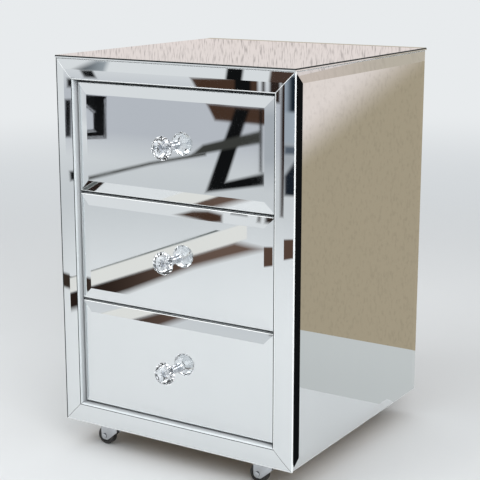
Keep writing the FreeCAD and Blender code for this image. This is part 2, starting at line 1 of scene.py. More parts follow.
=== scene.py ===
"""Looks of a bedside chest of three drawers, clad in bevelled mirror glass and standing on swivel casters.

Metres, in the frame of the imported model: +Z is up and the drawers face -Y.
"""
import json
import logging
import math
from collections.abc import Iterable, Mapping, Sequence
from dataclasses import dataclass, field
from enum import Enum, IntEnum

import bmesh
import bpy
from mathutils import Matrix, Vector

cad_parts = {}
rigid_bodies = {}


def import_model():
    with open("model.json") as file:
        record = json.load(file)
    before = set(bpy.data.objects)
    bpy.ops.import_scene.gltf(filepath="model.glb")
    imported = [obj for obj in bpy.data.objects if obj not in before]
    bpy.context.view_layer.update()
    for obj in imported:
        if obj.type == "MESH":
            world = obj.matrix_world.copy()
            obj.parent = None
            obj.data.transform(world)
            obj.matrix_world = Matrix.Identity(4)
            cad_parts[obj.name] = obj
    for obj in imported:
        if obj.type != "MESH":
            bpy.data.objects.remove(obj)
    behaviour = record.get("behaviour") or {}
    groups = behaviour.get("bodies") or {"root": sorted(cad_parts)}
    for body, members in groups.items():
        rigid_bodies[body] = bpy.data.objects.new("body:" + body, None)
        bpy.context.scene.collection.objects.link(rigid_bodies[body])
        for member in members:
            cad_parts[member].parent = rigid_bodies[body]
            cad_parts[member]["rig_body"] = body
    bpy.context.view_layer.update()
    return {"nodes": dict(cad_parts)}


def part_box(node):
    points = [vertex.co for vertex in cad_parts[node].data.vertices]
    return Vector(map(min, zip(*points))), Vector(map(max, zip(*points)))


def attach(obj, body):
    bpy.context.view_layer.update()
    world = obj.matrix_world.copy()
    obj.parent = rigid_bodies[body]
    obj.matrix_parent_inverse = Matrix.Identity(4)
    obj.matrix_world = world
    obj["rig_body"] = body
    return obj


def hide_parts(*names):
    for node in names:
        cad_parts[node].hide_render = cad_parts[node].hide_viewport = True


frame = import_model()

log = logging.getLogger("chest")

CABINET = "cabinet"
DRAWER_NAMES = ("bottom", "middle", "top")
CASTER_NAMES = ("front_left", "front_right", "back_left", "back_right")
MM = 0.001
# Corners nearer than this are one, and faces that meet at less than this angle are one
WELD = 0.001 * MM
FLAT_DEGREES = 0.5

# Fineness of the noise in tones, smears and grain, and how far smears are drawn out
TONE_DETAIL = 4.0
SMEAR_DETAIL = 3.0
GRAIN_DETAIL = 2.0
SMEAR_DISTORTION = 0.6
# The values between which most of the noise lies
NOISE_SPAN = (0.3, 0.7)
# Distance between a wave pattern's bands at a scale of 1
WAVE_BAND = math.tau / 20

Point = tuple[float, float]
Span = tuple[float, float]
Spot = tuple[float, float, float]
Colour = tuple[float, float, float, float]
Tree = bpy.types.NodeTree
Socket = bpy.types.NodeSocket
Shape = bmesh.types.BMesh
Corner = bmesh.types.BMVert


def linear(code: str) -> Colour:
    """Turn an sRGB hex colour to a linear one.

    Args:
        code: six hex digits.
    Returns:
        Red, green, blue and full alpha.
    """
    shares = [int(code[start:start + 2], 16) / 255 for start in (0, 2, 4)]
    red, green, blue = (s / 12.92 if s <= 0.04045 else ((s + 0.055) / 1.055) ** 2.4 for s in shares)
    return red, green, blue, 1.0


def per_metre(size_mm: float) -> float:
    """Scale of a pattern whose features lie this many millimetres apart."""
    return 1 / (size_mm * MM)


def add_node(
    tree: Tree,
    kind: str,
    settings: Mapping[str | int, object] | None = None,
    links: Mapping[str | int, Socket] | None = None,
) -> bpy.types.Node:
    """Add a node, set its sockets and properties, and link its inputs.

    Args:
        tree: the material's or the world's nodes.
        kind: the node's type.
        settings: values by socket name or number or, where there is no such socket, by property name.
        links: sources by socket name or, where names repeat, by number.
    Returns:
        The new node.
    """
    made = tree.nodes.new(kind)
    for name, value in (settings or {}).items():
        if isinstance(name, int) or name in made.inputs:
            made.inputs[name].default_value = value
        else:
            setattr(made, name, value)
    for name, source in (links or {}).items():
        tree.links.new(source, made.inputs[name])
    return made


def bare_tree(owner: bpy.types.Material | bpy.types.World) -> Tree:
    """Give a material or a world an empty tree of nodes.

    Args:
        owner: the material or world.
    Returns:
        Its nodes.
    """
    owner.use_nodes = True
    owner.node_tree.nodes.clear()
    return owner.node_tree


@dataclass(frozen=True)
class Finish:
    """A real material and how its surface was made: two tones, a range of gloss and a fine relief.

    Sizes are the spacing of each pattern in millimetres.
    """

    name: str
    tones: tuple[str, str]
    tone_mm: float
    roughness: Span
    smear_mm: float
    grain_mm: float
    grain_height_mm: float
    stretch: Spot = (1.0, 1.0, 1.0)
    sockets: Mapping[str, object] = field(default_factory=dict)

    def material(self) -> bpy.types.Material:
        """Make the material once and hand it out.

        Returns:
            The material of this finish.
        """
        known = bpy.data.materials.get(self.name)
        if known:
            return known
        made = bpy.data.materials.new(self.name)
        tree = bare_tree(made)
        place = add_node(tree, "ShaderNodeTexCoord").outputs["Object"]
        laid = add_node(tree, "ShaderNodeMapping", {"Scale": self.stretch}, {"Vector": place})
        where = laid.outputs["Vector"]
        sources = {
            "Base Color": self.tone(tree, where),
            "Roughness": self.gloss(tree, where),
            "Normal": self.relief(tree, where),
        }
        shader = add_node(tree, "ShaderNodeBsdfPrincipled", self.sockets, sources)
        add_node(tree, "ShaderNodeOutputMaterial", links={"Surface": shader.outputs["BSDF"]})
        made.diffuse_color = linear(self.tones[0])
        return made

    def tone(self, tree: Tree, where: Socket) -> Socket:
        """Drift between the two tones in soft patches.

        Args:
            tree: the material's nodes.
            where: the place on the surface.
        Returns:
            The colour.
        """
        settings = {"Scale": per_metre(self.tone_mm), "Detail": TONE_DETAIL}
        patches = add_node(tree, "ShaderNodeTexNoise", settings, {"Vector": where}).outputs["Fac"]
        tones = {"Color1": linear(self.tones[0]), "Color2": linear(self.tones[1])}
        return add_node(tree, "ShaderNodeMixRGB", tones, {"Fac": patches}).outputs["Color"]

    def gloss(self, tree: Tree, where: Socket) -> Socket:
        """Vary the roughness in smears.

        Args:
            tree: the material's nodes.
            where: the place on the surface.
        Returns:
            The roughness.
        """
        settings = {
            "Scale": per_metre(self.smear_mm),
            "Detail": SMEAR_DETAIL,
            "Distortion": SMEAR_DISTORTION,
        }
        smears = add_node(tree, "ShaderNodeTexNoise", settings, {"Vector": where}).outputs["Fac"]
        names = ("From Min", "From Max", "To Min", "To Max")
        spread = dict(zip(names, (*NOISE_SPAN, *self.roughness)))
        return add_node(tree, "ShaderNodeMapRange", spread, {"Value": smears}).outputs["Result"]

    def relief(self, tree: Tree, where: Socket) -> Socket:
        """Raise the grain of the surface.

        Args:
            tree: the material's nodes.
            where: the place on the surface.
        Returns:
            The way that the surface faces.
        """
        depth = {"Strength": 1.0, "Distance": self.grain_height_mm * MM}
        height = {"Height": self.grain(tree, where)}
        return add_node(tree, "ShaderNodeBump", depth, height).outputs["Normal"]

    def grain(self, tree: Tree, where: Socket) -> Socket:
        """Give the height of the grain: plain noise, unless a finish has a pattern of its own."""
        settings = {"Scale": per_metre(self.grain_mm), "Detail": GRAIN_DETAIL}
        return add_node(tree, "ShaderNodeTexNoise", settings, {"Vector": where}).outputs["Fac"]


@dataclass(frozen=True)
class SpangledFinish(Finish):
    """A finish whose grain is crystals that meet at edges."""

    def grain(self, tree: Tree, where: Socket) -> Socket:
        """Give each crystal a level of its own."""
        settings = {"Scale": per_metre(self.grain_mm)}
        return add_node(tree, "ShaderNodeTexVoronoi", settings, {"Vector": where}).outputs["Distance"]


@dataclass(frozen=True)
class ScreenedFinish(Finish):
    """A finish whose grain is the print of a woven wire screen."""

    def grain(self, tree: Tree, where: Socket) -> Socket:
        """Cross two sets of wires, along X and along Z.

        Args:
            tree: the material's nodes.
            where: the place on the surface.
        Returns:
            The height of the print.
        """
        wires = {}
        for socket, axis in (("Color1", "X"), ("Color2", "Z")):
            settings = {"Scale": WAVE_BAND * per_metre(self.grain_mm), "bands_direction": axis}
            wires[socket] = add_node(tree, "ShaderNodeTexWave", settings, {"Vector": where}).outputs["Fac"]
        return add_node(tree, "ShaderNodeMixRGB", {"Fac": 0.5}, wires).outputs["Color"]


# Silver deposited on polished float glass: a clean, neutral reflection with wipe marks and a slow wave
SILVERED_GLASS = Finish(
    name="float_glass_silvered",
    tones=("EDEFF0", "E6E9EA"),
    tone_mm=160.0,
    roughness=(0.004, 0.03),
    smear_mm=70.0,
    grain_mm=140.0,
    grain_height_mm=0.03,
    stretch=(1.0, 1.0, 0.6),
    sockets={"Metallic": 1.0},
)

# Glass arris ground with a belt: a frosted white line, its grit drawn coarser than real so that it shows
GROUND_GLASS = Finish(
    name="float_glass_ground",
    tones=("FBFCFC", "F0F4F4"),
    tone_mm=12.0,
    roughness=(0.35, 0.55),
    smear_mm=9.0,
    grain_mm=1.5,
    grain_height_mm=0.05,
    sockets={"IOR": 1.52},
)

# Glass edge polished to a shine: dark bottle green, because it is seen through the width of the sheet
POLISHED_GLASS = Finish(
    name="float_glass_polished",
    tones=("10181A", "1D2727"),
    tone_mm=30.0,
    roughness=(0.05, 0.16),
    smear_mm=14.0,
    grain_mm=5.0,
    grain_height_mm=0.01,
    sockets={"IOR": 1.52, "Specular IOR Level": 0.12},
)

# Glass edge as the cutter leaves it: pale, cool and half clear, with a little shine
CUT_GLASS = Finish(
    name="float_glass_cut",
    tones=("DEE3E5", "CDD4D7"),
    tone_mm=14.0,
    roughness=(0.12, 0.3),
    smear_mm=10.0,
    grain_mm=3.0,
    grain_height_mm=0.03,
    sockets={"IOR": 1.52},
)

# Backing paint rolled over the silver: flat grey with a slight orange peel
BACKING_PAINT = Finish(
    name="mirror_backing_paint_rolled",
    tones=("73797C", "666C70"),
    tone_mm=45.0,
    roughness=(0.5, 0.65),
    smear_mm=25.0,
    grain_mm=2.5,
    grain_height_mm=0.04,
)

# Lead-free crystal, cut and polished: clear facets that flash, with the faintest haze of handling
CUT_CRYSTAL = Finish(
    name="crystal_cut_and_polished",
    tones=("FFFFFF", "F7FAFF"),
    tone_mm=10.0,
    roughness=(0.0, 0.012),
    smear_mm=8.0,
    grain_mm=12.0,
    grain_height_mm=0.002,
    sockets={"IOR": 1.56, "Transmission Weight": 1.0},
)

# Chrome plated on polished steel: a bright, slightly cloudy metal that takes its tone from the room
CHROMED_STEEL = Finish(
    name="steel_chrome_plated",
    tones=("C9CBCE", "B4B6BA"),
    tone_mm=9.0,
    roughness=(0.06, 0.16),
    smear_mm=6.0,
    grain_mm=4.0,
    grain_height_mm=0.01,
    sockets={"Metallic": 1.0},
)

# Zinc alloy under bright nickel: a grey, bright metal that shows as a disc through the crystal
NICKELLED_ZINC = Finish(
    name="zinc_alloy_nickel_plated",
    tones=("CDD0D4", "B6B9BF"),
    tone_mm=9.0,
    roughness=(0.08, 0.2),
    smear_mm=6.0,
    grain_mm=4.0,
    grain_height_mm=0.01,
    sockets={"Metallic": 1.0},
)

# Zinc on rolled steel: a grey, satin metal with a crystal spangle, drawn a little larger than real
ZINC_STEEL = SpangledFinish(
    name="steel_zinc_plated",
    tones=("B4B8BC", "9EA3A8"),
    tone_mm=7.0,
    roughness=(0.24, 0.38),
    smear_mm=18.0,
    grain_mm=4.0,
    grain_height_mm=0.02,
    sockets={"Metallic": 1.0},
)

# Silver-grey lacquer sprayed on fibreboard: an even satin coat with a little orange peel
LACQUERED_BOARD = Finish(
    name="fibreboard_lacquered_silver_grey",
    tones=("BFC3C5", "B3B7BA"),
    tone_mm=60.0,
    roughness=(0.36, 0.48),
    smear_mm=35.0,
    grain_mm=2.2,
    grain_height_mm=0.03,
)

# Chipboard pressed with a melamine paper: pale grey with fine pores drawn out along the board
FACED_BOARD = Finish(
    name="chipboard_melamine_faced",
    tones=("DAD8D3", "CCC9C3"),
    tone_mm=22.0,
    roughness=(0.42, 0.56),
    smear_mm=30.0,
    grain_mm=2.0,
    grain_height_mm=0.05,
    stretch=(1.0, 0.12, 1.0),
)

# Fibreboard as it leaves the press: matt brown with pale and dark fibres, drawn coarser than real
BARE_BOARD = Finish(
    name="fibreboard_pressed_bare",
    tones=("B79A72", "9C7E58"),
    tone_mm=3.0,
    roughness=(0.75, 0.9),
    smear_mm=40.0,
    grain_mm=2.0,
    grain_height_mm=0.06,
)

# Hardboard pressed on a wire screen: matt brown with a woven print, drawn far coarser than real
SCREEN_BOARD = ScreenedFinish(
    name="hardboard_screen_pressed",
    tones=("8F7150", "7C6043"),
    tone_mm=28.0,
    roughness=(0.7, 0.88),
    smear_mm=50.0,
    grain_mm=25.13,
    grain_height_mm=0.12,
)

# Nylon moulded in a polished tool: nearly black, satin, scuffed where it rolls
MOULDED_NYLON = Finish(
    name="nylon_moulded_black",
    tones=("232323", "33312F"),
    tone_mm=5.0,
    roughness=(0.28, 0.5),
    smear_mm=6.0,
    grain_mm=1.6,
    grain_height_mm=0.03,
)


class Facing(Enum):
    """Which way the front of a sheet looks; across, up and outward directions of the sheet."""

    FRONT = ((1, 0, 0), (0, 0, 1), (0, -1, 0))
    RIGHT = ((0, 1, 0), (0, 0, 1), (1, 0, 0))
    LEFT = ((0, -1, 0), (0, 0, 1), (-1, 0, 0))
    BACK = ((-1, 0, 0), (0, 0, 1), (0, 1, 0))
    UP = ((1, 0, 0), (0, 1, 0), (0, 0, 1))

    def frame_at(self, origin: Vector) -> Matrix:
        """Matrix that lays a sheet, drawn across X, up Y and out along Z, at an origin."""
        turn = Matrix([Vector(axis) for axis in self.value]).transposed()
        return Matrix.Translation(origin) @ turn.to_4x4()

    def sizes(self, span: Vector) -> Spot:
        """Width, height and thickness of a sheet that fills a box of this span."""
        across, up, out = (sum(abs(axis[i]) * span[i] for i in range(3)) for axis in self.value)
        return across, up, out

    def low_corner(self, node: str) -> Vector:
        """Find the corner of a node's box that is lowest along the sheet's own three directions.

        Args:
            node: the node.
        Returns:
            The corner.
        """
        low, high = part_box(node)
        signs = [sum(axis[i] for axis in self.value) for i in range(3)]
        return Vector(low[i] if signs[i] > 0 else high[i] for i in range(3))


class GlassFace(IntEnum):
    """The kinds of face of a sheet of mirror glass, in the order of its materials."""

    SILVER = 0
    GROUND = 1
    POLISHED = 2
    CUT = 3
    BACKING = 4


def object_from(name: str, shape: Shape, materials: Iterable[bpy.types.Material]) -> bpy.types.Object:
    """Turn a shape to an object of the scene.

    Args:
        name: the object's name.
        shape: its mesh, which is freed.
        materials: its materials, in the order of its faces' material numbers.
    Returns:
        The new object.
    """
    mesh = bpy.data.meshes.new(name)
    shape.to_mesh(mesh)
    shape.free()
    for material in materials:
        mesh.materials.append(material)
    made = bpy.data.objects.new(name, mesh)
    bpy.context.scene.collection.objects.link(made)
    return made


def smooth_round(piece: bpy.types.Object, sharp_degrees: float = 32.0) -> None:
    """Shade a piece smooth but for its sharp edges."""
    piece.data.shade_smooth()
    piece.data.set_sharp_from_angle(angle=math.radians(sharp_degrees))


def piece_from(
    name: str,
    shape: Shape,
    finishes: Iterable[Finish],
    body: str,
    replaced: Sequence[str] = (),
    smooth: bool = True,
) -> bpy.types.Object:
    """Turn a finished shape, its faces outwards, to a piece of the chest.

    Args:
        name: the piece's name.
        shape: its mesh, which is freed.
        finishes: its finishes, in the order of its faces' material numbers.
        body: the body that it rides on.
        replaced: the nodes that it stands for.
        smooth: whether its round faces are shaded smooth.
    Returns:
        The new piece.
    """
    bmesh.ops.recalc_face_normals(shape, faces=shape.faces)
    if shape.calc_volume(signed=True) < 0:
        bmesh.ops.reverse_faces(shape, faces=shape.faces)
    made = object_from(name, shape, [finish.material() for finish in finishes])
    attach(made, body)
    if replaced:
        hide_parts(*replaced)
    if smooth:
        smooth_round(made)
    return made


def ring(shape: Shape, points: Iterable[Sequence[float]]) -> list[Corner]:
    """Add a closed ring of corners."""
    return [shape.verts.new(point) for point in points]


def bridge(
    shape: Shape, lower: Sequence[Corner], upper: Sequence[Corner], kind: int = 0
) -> list[bmesh.types.BMFace]:
    """Join two rings of as many corners with a band of faces.

    Args:
        shape: the mesh to add to.
        lower: one ring.
        upper: the other ring.
        kind: material number of the faces.
    Returns:
        The faces.
    """
    count = len(lower)
    band = []
    for index in range(count):
        following = (index + 1) % count
        face = shape.faces.new((lower[index], lower[following], upper[following], upper[index]))
        face.material_index = kind
        band.append(face)
    return band


def close_with_holes(
    shape: Shape, outline: Sequence[Corner], holes: Sequence[Sequence[Corner]], kind: int = 0
) -> None:
    """Fill a flat outline and leave its holes open.

    Args:
        shape: the mesh to add to.
        outline: the ring round the face.
        holes: the rings round its holes.
        kind: material number of the face.
    """
    if not holes:
        shape.faces.new(outline).material_index = kind
        return
    edges = []
    for loop in (outline, *holes):
        for index, corner in enumerate(loop):
            pair = (corner, loop[(index + 1) % len(loop)])
            edges.append(shape.edges.get(pair) or shape.edges.new(pair))
    filled = bmesh.ops.triangle_fill(shape, edges=edges, use_beauty=True)
    for item in filled["geom"]:
        if isinstance(item, bmesh.types.BMFace):
            item.material_index = kind


def circle(centre: Point, radius: float, steps: int) -> list[Point]:
    """Points round a circle."""
    angles = (math.tau * step / steps for step in range(steps))
    return [(centre[0] + radius * math.cos(a), centre[1] + radius * math.sin(a)) for a in angles]


def arc(centre: Point, radius: float, start: float, stop: float, steps: int = 6) -> list[Point]:
    """Points along an arc of a profile, from one angle in degrees to another."""
    angles = (math.radians(start + (stop - start) * step / steps) for step in range(steps + 1))
    return [(centre[0] + radius * math.cos(a), centre[1] + radius * math.sin(a)) for a in angles]


def lathe(
    shape: Shape, profile: Iterable[Point], steps: int, where: Matrix, closed: bool = True
) -> None:
    """Turn a profile of radii and heights round its axis and close its ends.

    Args:
        shape: the mesh to add to.
        profile: radius and height of each ring, from one end to the other.
        steps: corners of each ring.
        where: places the turned axis Z and its foot.
        closed: whether the last end is closed too.
    """
    rings = [
        ring(shape, [where @ Vector((x, y, height)) for x, y in circle((0, 0), radius, steps)])
        for radius, height in profile
    ]
    for lower, upper in zip(rings, rings[1:]):
        bridge(shape, lower, upper)
    shape.faces.new(rings[0])
    if closed:
        shape.faces.new(rings[-1])


def merge_flat_faces(shape: Shape) -> None:
    """Join faces that lie in one plane."""
    limit = math.radians(FLAT_DEGREES)
    bmesh.ops.dissolve_limit(shape, angle_limit=limit, verts=shape.verts, edges=shape.edges)


def plain_copy(node: str) -> Shape:
    """Copy a node's solid, with its flat faces whole.

    Args:
        node: the node to copy.
    Returns:
        The copy.
    """
    shape = bmesh.new()
    shape.from_mesh(frame["nodes"][node].data)
    bmesh.ops.remove_doubles(shape, verts=shape.verts, dist=WELD)
    merge_flat_faces(shape)
    for face in shape.faces:
        face.material_index = 0
    return shape


def round_edges(
    shape: Shape, edges: Sequence[bmesh.types.BMEdge], width_mm: float, steps: int, kind: int = 0
) -> None:
    """Round edges over a width in millimetres, or cut them off flat in one step.

    Args:
        shape: the mesh to change.
        edges: the edges to round.
        width_mm: how far the rounding reaches.
        steps: faces across the rounding.
        kind: material number of the new faces.
    """
    bmesh.ops.bevel(
        shape,
        geom=edges,
        offset=width_mm * MM,
        offset_type="OFFSET",
        segments=steps,
        profile=0.5,
        affect="EDGES",
        clamp_overlap=True,
        material=kind,
    )


def ease_sharp_edges(shape: Shape, ease_mm: float, sharp_degrees: float = 40.0, steps: int = 2) -> None:
    """Round every sharp edge a little, as sanding or pressing does.

    Args:
        shape: the mesh to change.
        ease_mm: width of the rounding.
        sharp_degrees: edges that turn more than this are sharp.
        steps: faces across the rounding.
    """
    paired = (edge for edge in shape.edges if len(edge.link_faces) == 2)
    sharp = [edge for edge in paired if edge.calc_face_angle() > math.radians(sharp_degrees)]
    round_edges(shape, sharp, ease_mm, steps)


def eased_piece(node: str, ease_mm: float, finish: Finish, body: str) -> bpy.types.Object:
    """Stand an eased copy in for a node.

    Args:
        node: the node that it stands for.
        ease_mm: width of the rounding.
        finish: its finish.
        body: the body that it rides on.
    Returns:
        The new piece.
    """
    shape = plain_copy(node)
    ease_sharp_edges(shape, ease_mm)
    return piece_from(f"{node}_eased", shape, (finish,), body, (node,))


def dress(node: str, finish: Finish) -> bpy.types.Object:
    """Give a node that keeps its shape a new finish.

    Args:
        node: the node.
        finish: its finish.
    Returns:
        The node's object.
    """
    kept = frame["nodes"][node]
    kept.data.materials.clear()
    kept.data.materials.append(finish.material())
    return kept


@dataclass
class MirrorSheet:
    """A sheet of silvered glass that fills a node's box: bevelled face, seamed arris, painted back."""

    node: str
    body: str
    facing: Facing
    bevel_mm: float = 19.0
    drop_mm: float = 2.4
    arris_mm: float = 1.8
    arris_drop_mm: float = 0.9
    edge_share: float = 0.45
    edge: GlassFace = GlassFace.GROUND
    rim: GlassFace = GlassFace.GROUND
    skirt: GlassFace | None = None
    hole_mm: float = 0.0
    hole_steps: int = 24

    def build(self) -> bpy.types.Object:
        """Cut the sheet and stand it in for its node.

        Returns:
            The new piece.
        """
        low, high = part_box(self.node)
        shape = bmesh.new()
        self.cut(shape, *self.facing.sizes(high - low))
        shape.transform(self.lay())
        finishes = (SILVERED_GLASS, GROUND_GLASS, POLISHED_GLASS, CUT_GLASS, BACKING_PAINT)
        name = f"{self.node}_sheet"
        return piece_from(name, shape, finishes, self.body, (self.node,), smooth=False)

    def lay(self) -> Matrix:
        """Where the sheet lies."""
        return self.facing.frame_at(self.facing.low_corner(self.node))

    def section(self, thick: float) -> list[Point]:
        """Draw the edge: its back, the foot, middle and top of its arris, and the top of its bevel.

        Args:
            thick: thickness of the glass.
        Returns:
            Inset and height of each corner.
        """
        bevel, drop, arris = self.bevel_mm * MM, self.drop_mm * MM, self.arris_mm * MM
        foot = thick - drop - self.arris_drop_mm * MM
        top = thick - drop + drop * arris / bevel if bevel else thick
        middle = foot + (top - foot) * self.edge_share
        corners = [(0.0, 0.0), (0.0, foot), (arris * self.edge_share, middle), (arris, top)]
        return [*corners, (bevel, thick)] if bevel else corners

    def cut(self, shape: Shape, across: float, up: float, thick: float) -> None:
        """Make the sheet: a painted back, seamed edges, sloped bevels and a flat middle.

        Args:
            shape: the mesh to fill.
            across: width of the sheet.
            up: height of the sheet.
            thick: thickness of the glass.
        """
        rings = [
            ring(shape, [(i, i, z), (across - i, i, z), (across - i, up - i, z), (i, up - i, z)])
            for i, z in self.section(thick)
        ]
        kinds = (self.edge, self.edge, self.rim, GlassFace.SILVER)
        bands = [
            bridge(shape, lower, upper, kind)
            for lower, upper, kind in zip(rings, rings[1:], kinds)
        ]
        if self.skirt is not None:
            for face in bands[0]:
                face.material_index = self.skirt
        holes = self.drill(shape, (across / 2, up / 2), thick)
        close_with_holes(shape, rings[0], holes[:1], GlassFace.BACKING)
        close_with_holes(shape, rings[-1], holes[1:], GlassFace.SILVER)

    def drill(self, shape: Shape, centre: Point, thick: float) -> list[list[Corner]]:
        """Line the hole, if the sheet has one.

        Args:
            shape: the mesh to add to.
            centre: middle of the hole.
            thick: thickness of the glass.
        Returns:
            The hole's rings at the back and at the front.
        """
        if not self.hole_mm:
            return []
        points = circle(centre, self.hole_mm * MM / 2, self.hole_steps)
        rings = [ring(shape, [(x, y, z) for x, y in points]) for z in (0.0, thick)]
        bridge(shape, *rings, GlassFace.GROUND)
        return rings


@dataclass(frozen=True)
class StripCut:
    """How a strip of the frame lies and how its edges are worked; sizes are inset and drop."""

    turn: float
    corner: Point
    # True for the upper mitres, ground white; the lower mitres get dark polished ends as painted shade, on
    # top of the real shade in their gap
    seamed_mitres: tuple[bool, bool]
    outer: GlassFace
    outer_mm: Point
    seam: GlassFace
    seam_mm: Point
    inner: GlassFace
    inner_drop_mm: float


class FrameSide(Enum):
    """The strips of the front frame, each from the corner where it starts."""

    BOTTOM = StripCut(
        turn=0,
        corner=(-1, -1),
        seamed_mitres=(False, False),
        outer=GlassFace.GROUND,
        outer_mm=(2.4, 1.2),
        seam=GlassFace.POLISHED,
        seam_mm=(1.9, 0.3),
        inner=GlassFace.CUT,
        inner_drop_mm=2.8,
    )
    RIGHT = StripCut(
        turn=90,
        corner=(1, -1),
        seamed_mitres=(False, True),
        outer=GlassFace.GROUND,
        outer_mm=(1.5, 0.9),
        seam=GlassFace.GROUND,
        seam_mm=(1.6, 0.3),
        inner=GlassFace.POLISHED,
        inner_drop_mm=0.7,
    )
    TOP = StripCut(
        turn=180,
        corner=(1, 1),
        seamed_mitres=(True, True),
        outer=GlassFace.GROUND,
        outer_mm=(1.8, 0.9),
        seam=GlassFace.GROUND,
        seam_mm=(1.5, 0.5),
        inner=GlassFace.POLISHED,
        inner_drop_mm=2.8,
    )
    LEFT = StripCut(
        turn=270,
        corner=(-1, 1),
        seamed_mitres=(True, False),
        outer=GlassFace.POLISHED,
        outer_mm=(2.4, 0.3),
        seam=GlassFace.POLISHED,
        seam_mm=(1.6, 0.3),
        inner=GlassFace.CUT,
        inner_drop_mm=2.8,
    )


@dataclass
class MirrorStrip(MirrorSheet):
    """A mitred strip of the front frame, bevelled along its outer edge."""

    bevel_mm: float = 17.5
    inner_mm: float = 2.8
    mitre_seam_mm: float = 1.4
    mitre_gap_mm: float = 0.45
    weld_mm: float = 0.01
    side: FrameSide = FrameSide.BOTTOM

    def lay(self) -> Matrix:
        """Turn the strip to its side of the frame.

        Returns:
            Where the strip lies.
        """
        right, top = self.side.value.corner
        low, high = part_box(self.node)
        corner = Vector((high.x if right > 0 else low.x, high.y, high.z if top > 0 else low.z))
        turn = Matrix.Rotation(math.radians(self.side.value.turn), 4, "Z")
        return self.facing.frame_at(corner) @ turn

    def cut(self, shape: Shape, across: float, up: float, thick: float) -> None:
        """Sweep the strip's section along its length between two mitres.

        Args:
            shape: the mesh to fill.
            across: width of the strip's box.
            up: height of the strip's box.
            thick: thickness of the glass.
        """
        length, width = max(across, up), min(across, up)
        edges = self.side.value
        seam_inset, seam_drop = edges.seam_mm
        section = [
            *self.section(thick),
            (width - self.inner_mm * MM, thick),
            (width - seam_inset * MM, thick - seam_drop * MM),
            (width, thick - edges.inner_drop_mm * MM),
            (width, 0.0),
        ]
        silver, outer = GlassFace.SILVER, edges.outer
        long_edges = (outer, outer, outer, silver, silver, edges.seam, edges.inner)
        kinds = (*long_edges, GlassFace.CUT, GlassFace.BACKING)
        gaps = [0.0 if ground else self.mitre_gap_mm * MM for ground in edges.seamed_mitres]
        starts = ring(shape, [(y + gaps[0], y, z) for y, z in section])
        stops = ring(shape, [(length - y - gaps[1], y, z) for y, z in section])
        count = len(section)
        for index, kind in enumerate(kinds):
            following = (index + 1) % count
            corners = (starts[index], stops[index], stops[following], starts[following])
            shape.faces.new(corners).material_index = kind
        # Upper mitres get white ground ends; lower ones dark polished ends, painted shade added to the real
        # shade of their gap
        for end, ground in zip((starts, stops), edges.seamed_mitres):
            cap = shape.faces.new(end)
            cap.material_index = GlassFace.GROUND if ground else GlassFace.POLISHED
            if ground:
                self.seam_mitre(shape, cap)

    def seam_mitre(self, shape: Shape, cap: bmesh.types.BMFace) -> None:
        """Grind the arris between a mitred end and the silvered faces.

        Args:
            shape: the strip.
            cap: the face of its mitred end.
        """
        kinds = {GlassFace.SILVER, GlassFace.GROUND}
        edges = [
            edge for edge in cap.edges
            if {face.material_index for face in edge.link_faces} == kinds
        ]
        round_edges(shape, edges, self.mitre_seam_mm, 1, GlassFace.GROUND)
        weld = self.weld_mm * MM
        bmesh.ops.remove_doubles(shape, verts=shape.verts, dist=weld)
        bmesh.ops.dissolve_degenerate(shape, edges=shape.edges, dist=weld)


@dataclass
class Cladding:
    """Mirror glass fixed to the carcase: top, sides and the mitred frame."""

    top_arris_mm: float = 0.6
    top_arris_drop_mm: float = 2.2

    def build(self) -> list[bpy.types.Object]:
        """Make every fixed sheet.

        Returns:
            The new pieces.
        """
        sheets = [
            MirrorSheet(
                "top_mirror",
                CABINET,
                Facing.UP,
                bevel_mm=0.0,
                drop_mm=0.0,
                arris_mm=self.top_arris_mm,
                arris_drop_mm=self.top_arris_drop_mm,
                edge=GlassFace.POLISHED,
                rim=GlassFace.POLISHED,
                skirt=GlassFace.SILVER,
            ),
            MirrorSheet("side_mirror_left", CABINET, Facing.LEFT),
            MirrorSheet("side_mirror_right", CABINET, Facing.RIGHT),
        ]
        for side in FrameSide:
            arris, drop = side.value.outer_mm
            node = f"frame_mirror_{side.name.lower()}"
            strip = MirrorStrip(node, CABINET, Facing.FRONT, arris_mm=arris, arris_drop_mm=drop, side=side)
            sheets.append(strip)
        return [sheet.build() for sheet in sheets]


@dataclass
class Carcase:
    """Boards behind the glass, the lacquered face frame and the runners' fixed members."""

    board_ease_mm: float = 0.6
    frame_ease_mm: float = 0.5
    steel_ease_mm: float = 0.3
    bare_boards: tuple[str, ...] = (
        "side_panel_left",
        "side_panel_right",
        "top_panel",
        "bottom_panel",
        "slide_packers",
    )

    def build(self) -> list[bpy.types.Object]:
        """Ease and dress every board.

        Returns:
            The new pieces.
        """
        boards = [
            eased_piece(node, self.board_ease_mm, BARE_BOARD, CABINET)
            for node in self.bare_boards
        ]
        frames = [
            eased_piece(node, self.frame_ease_mm, LACQUERED_BOARD, CABINET)
            for node in ("frame_stiles", "frame_rails")
        ]
        runners = eased_piece(
            "slide_cabinet_members", self.steel_ease_mm, ZINC_STEEL, CABINET
        )
        return [*boards, *frames, runners, *BackPanel().build()]


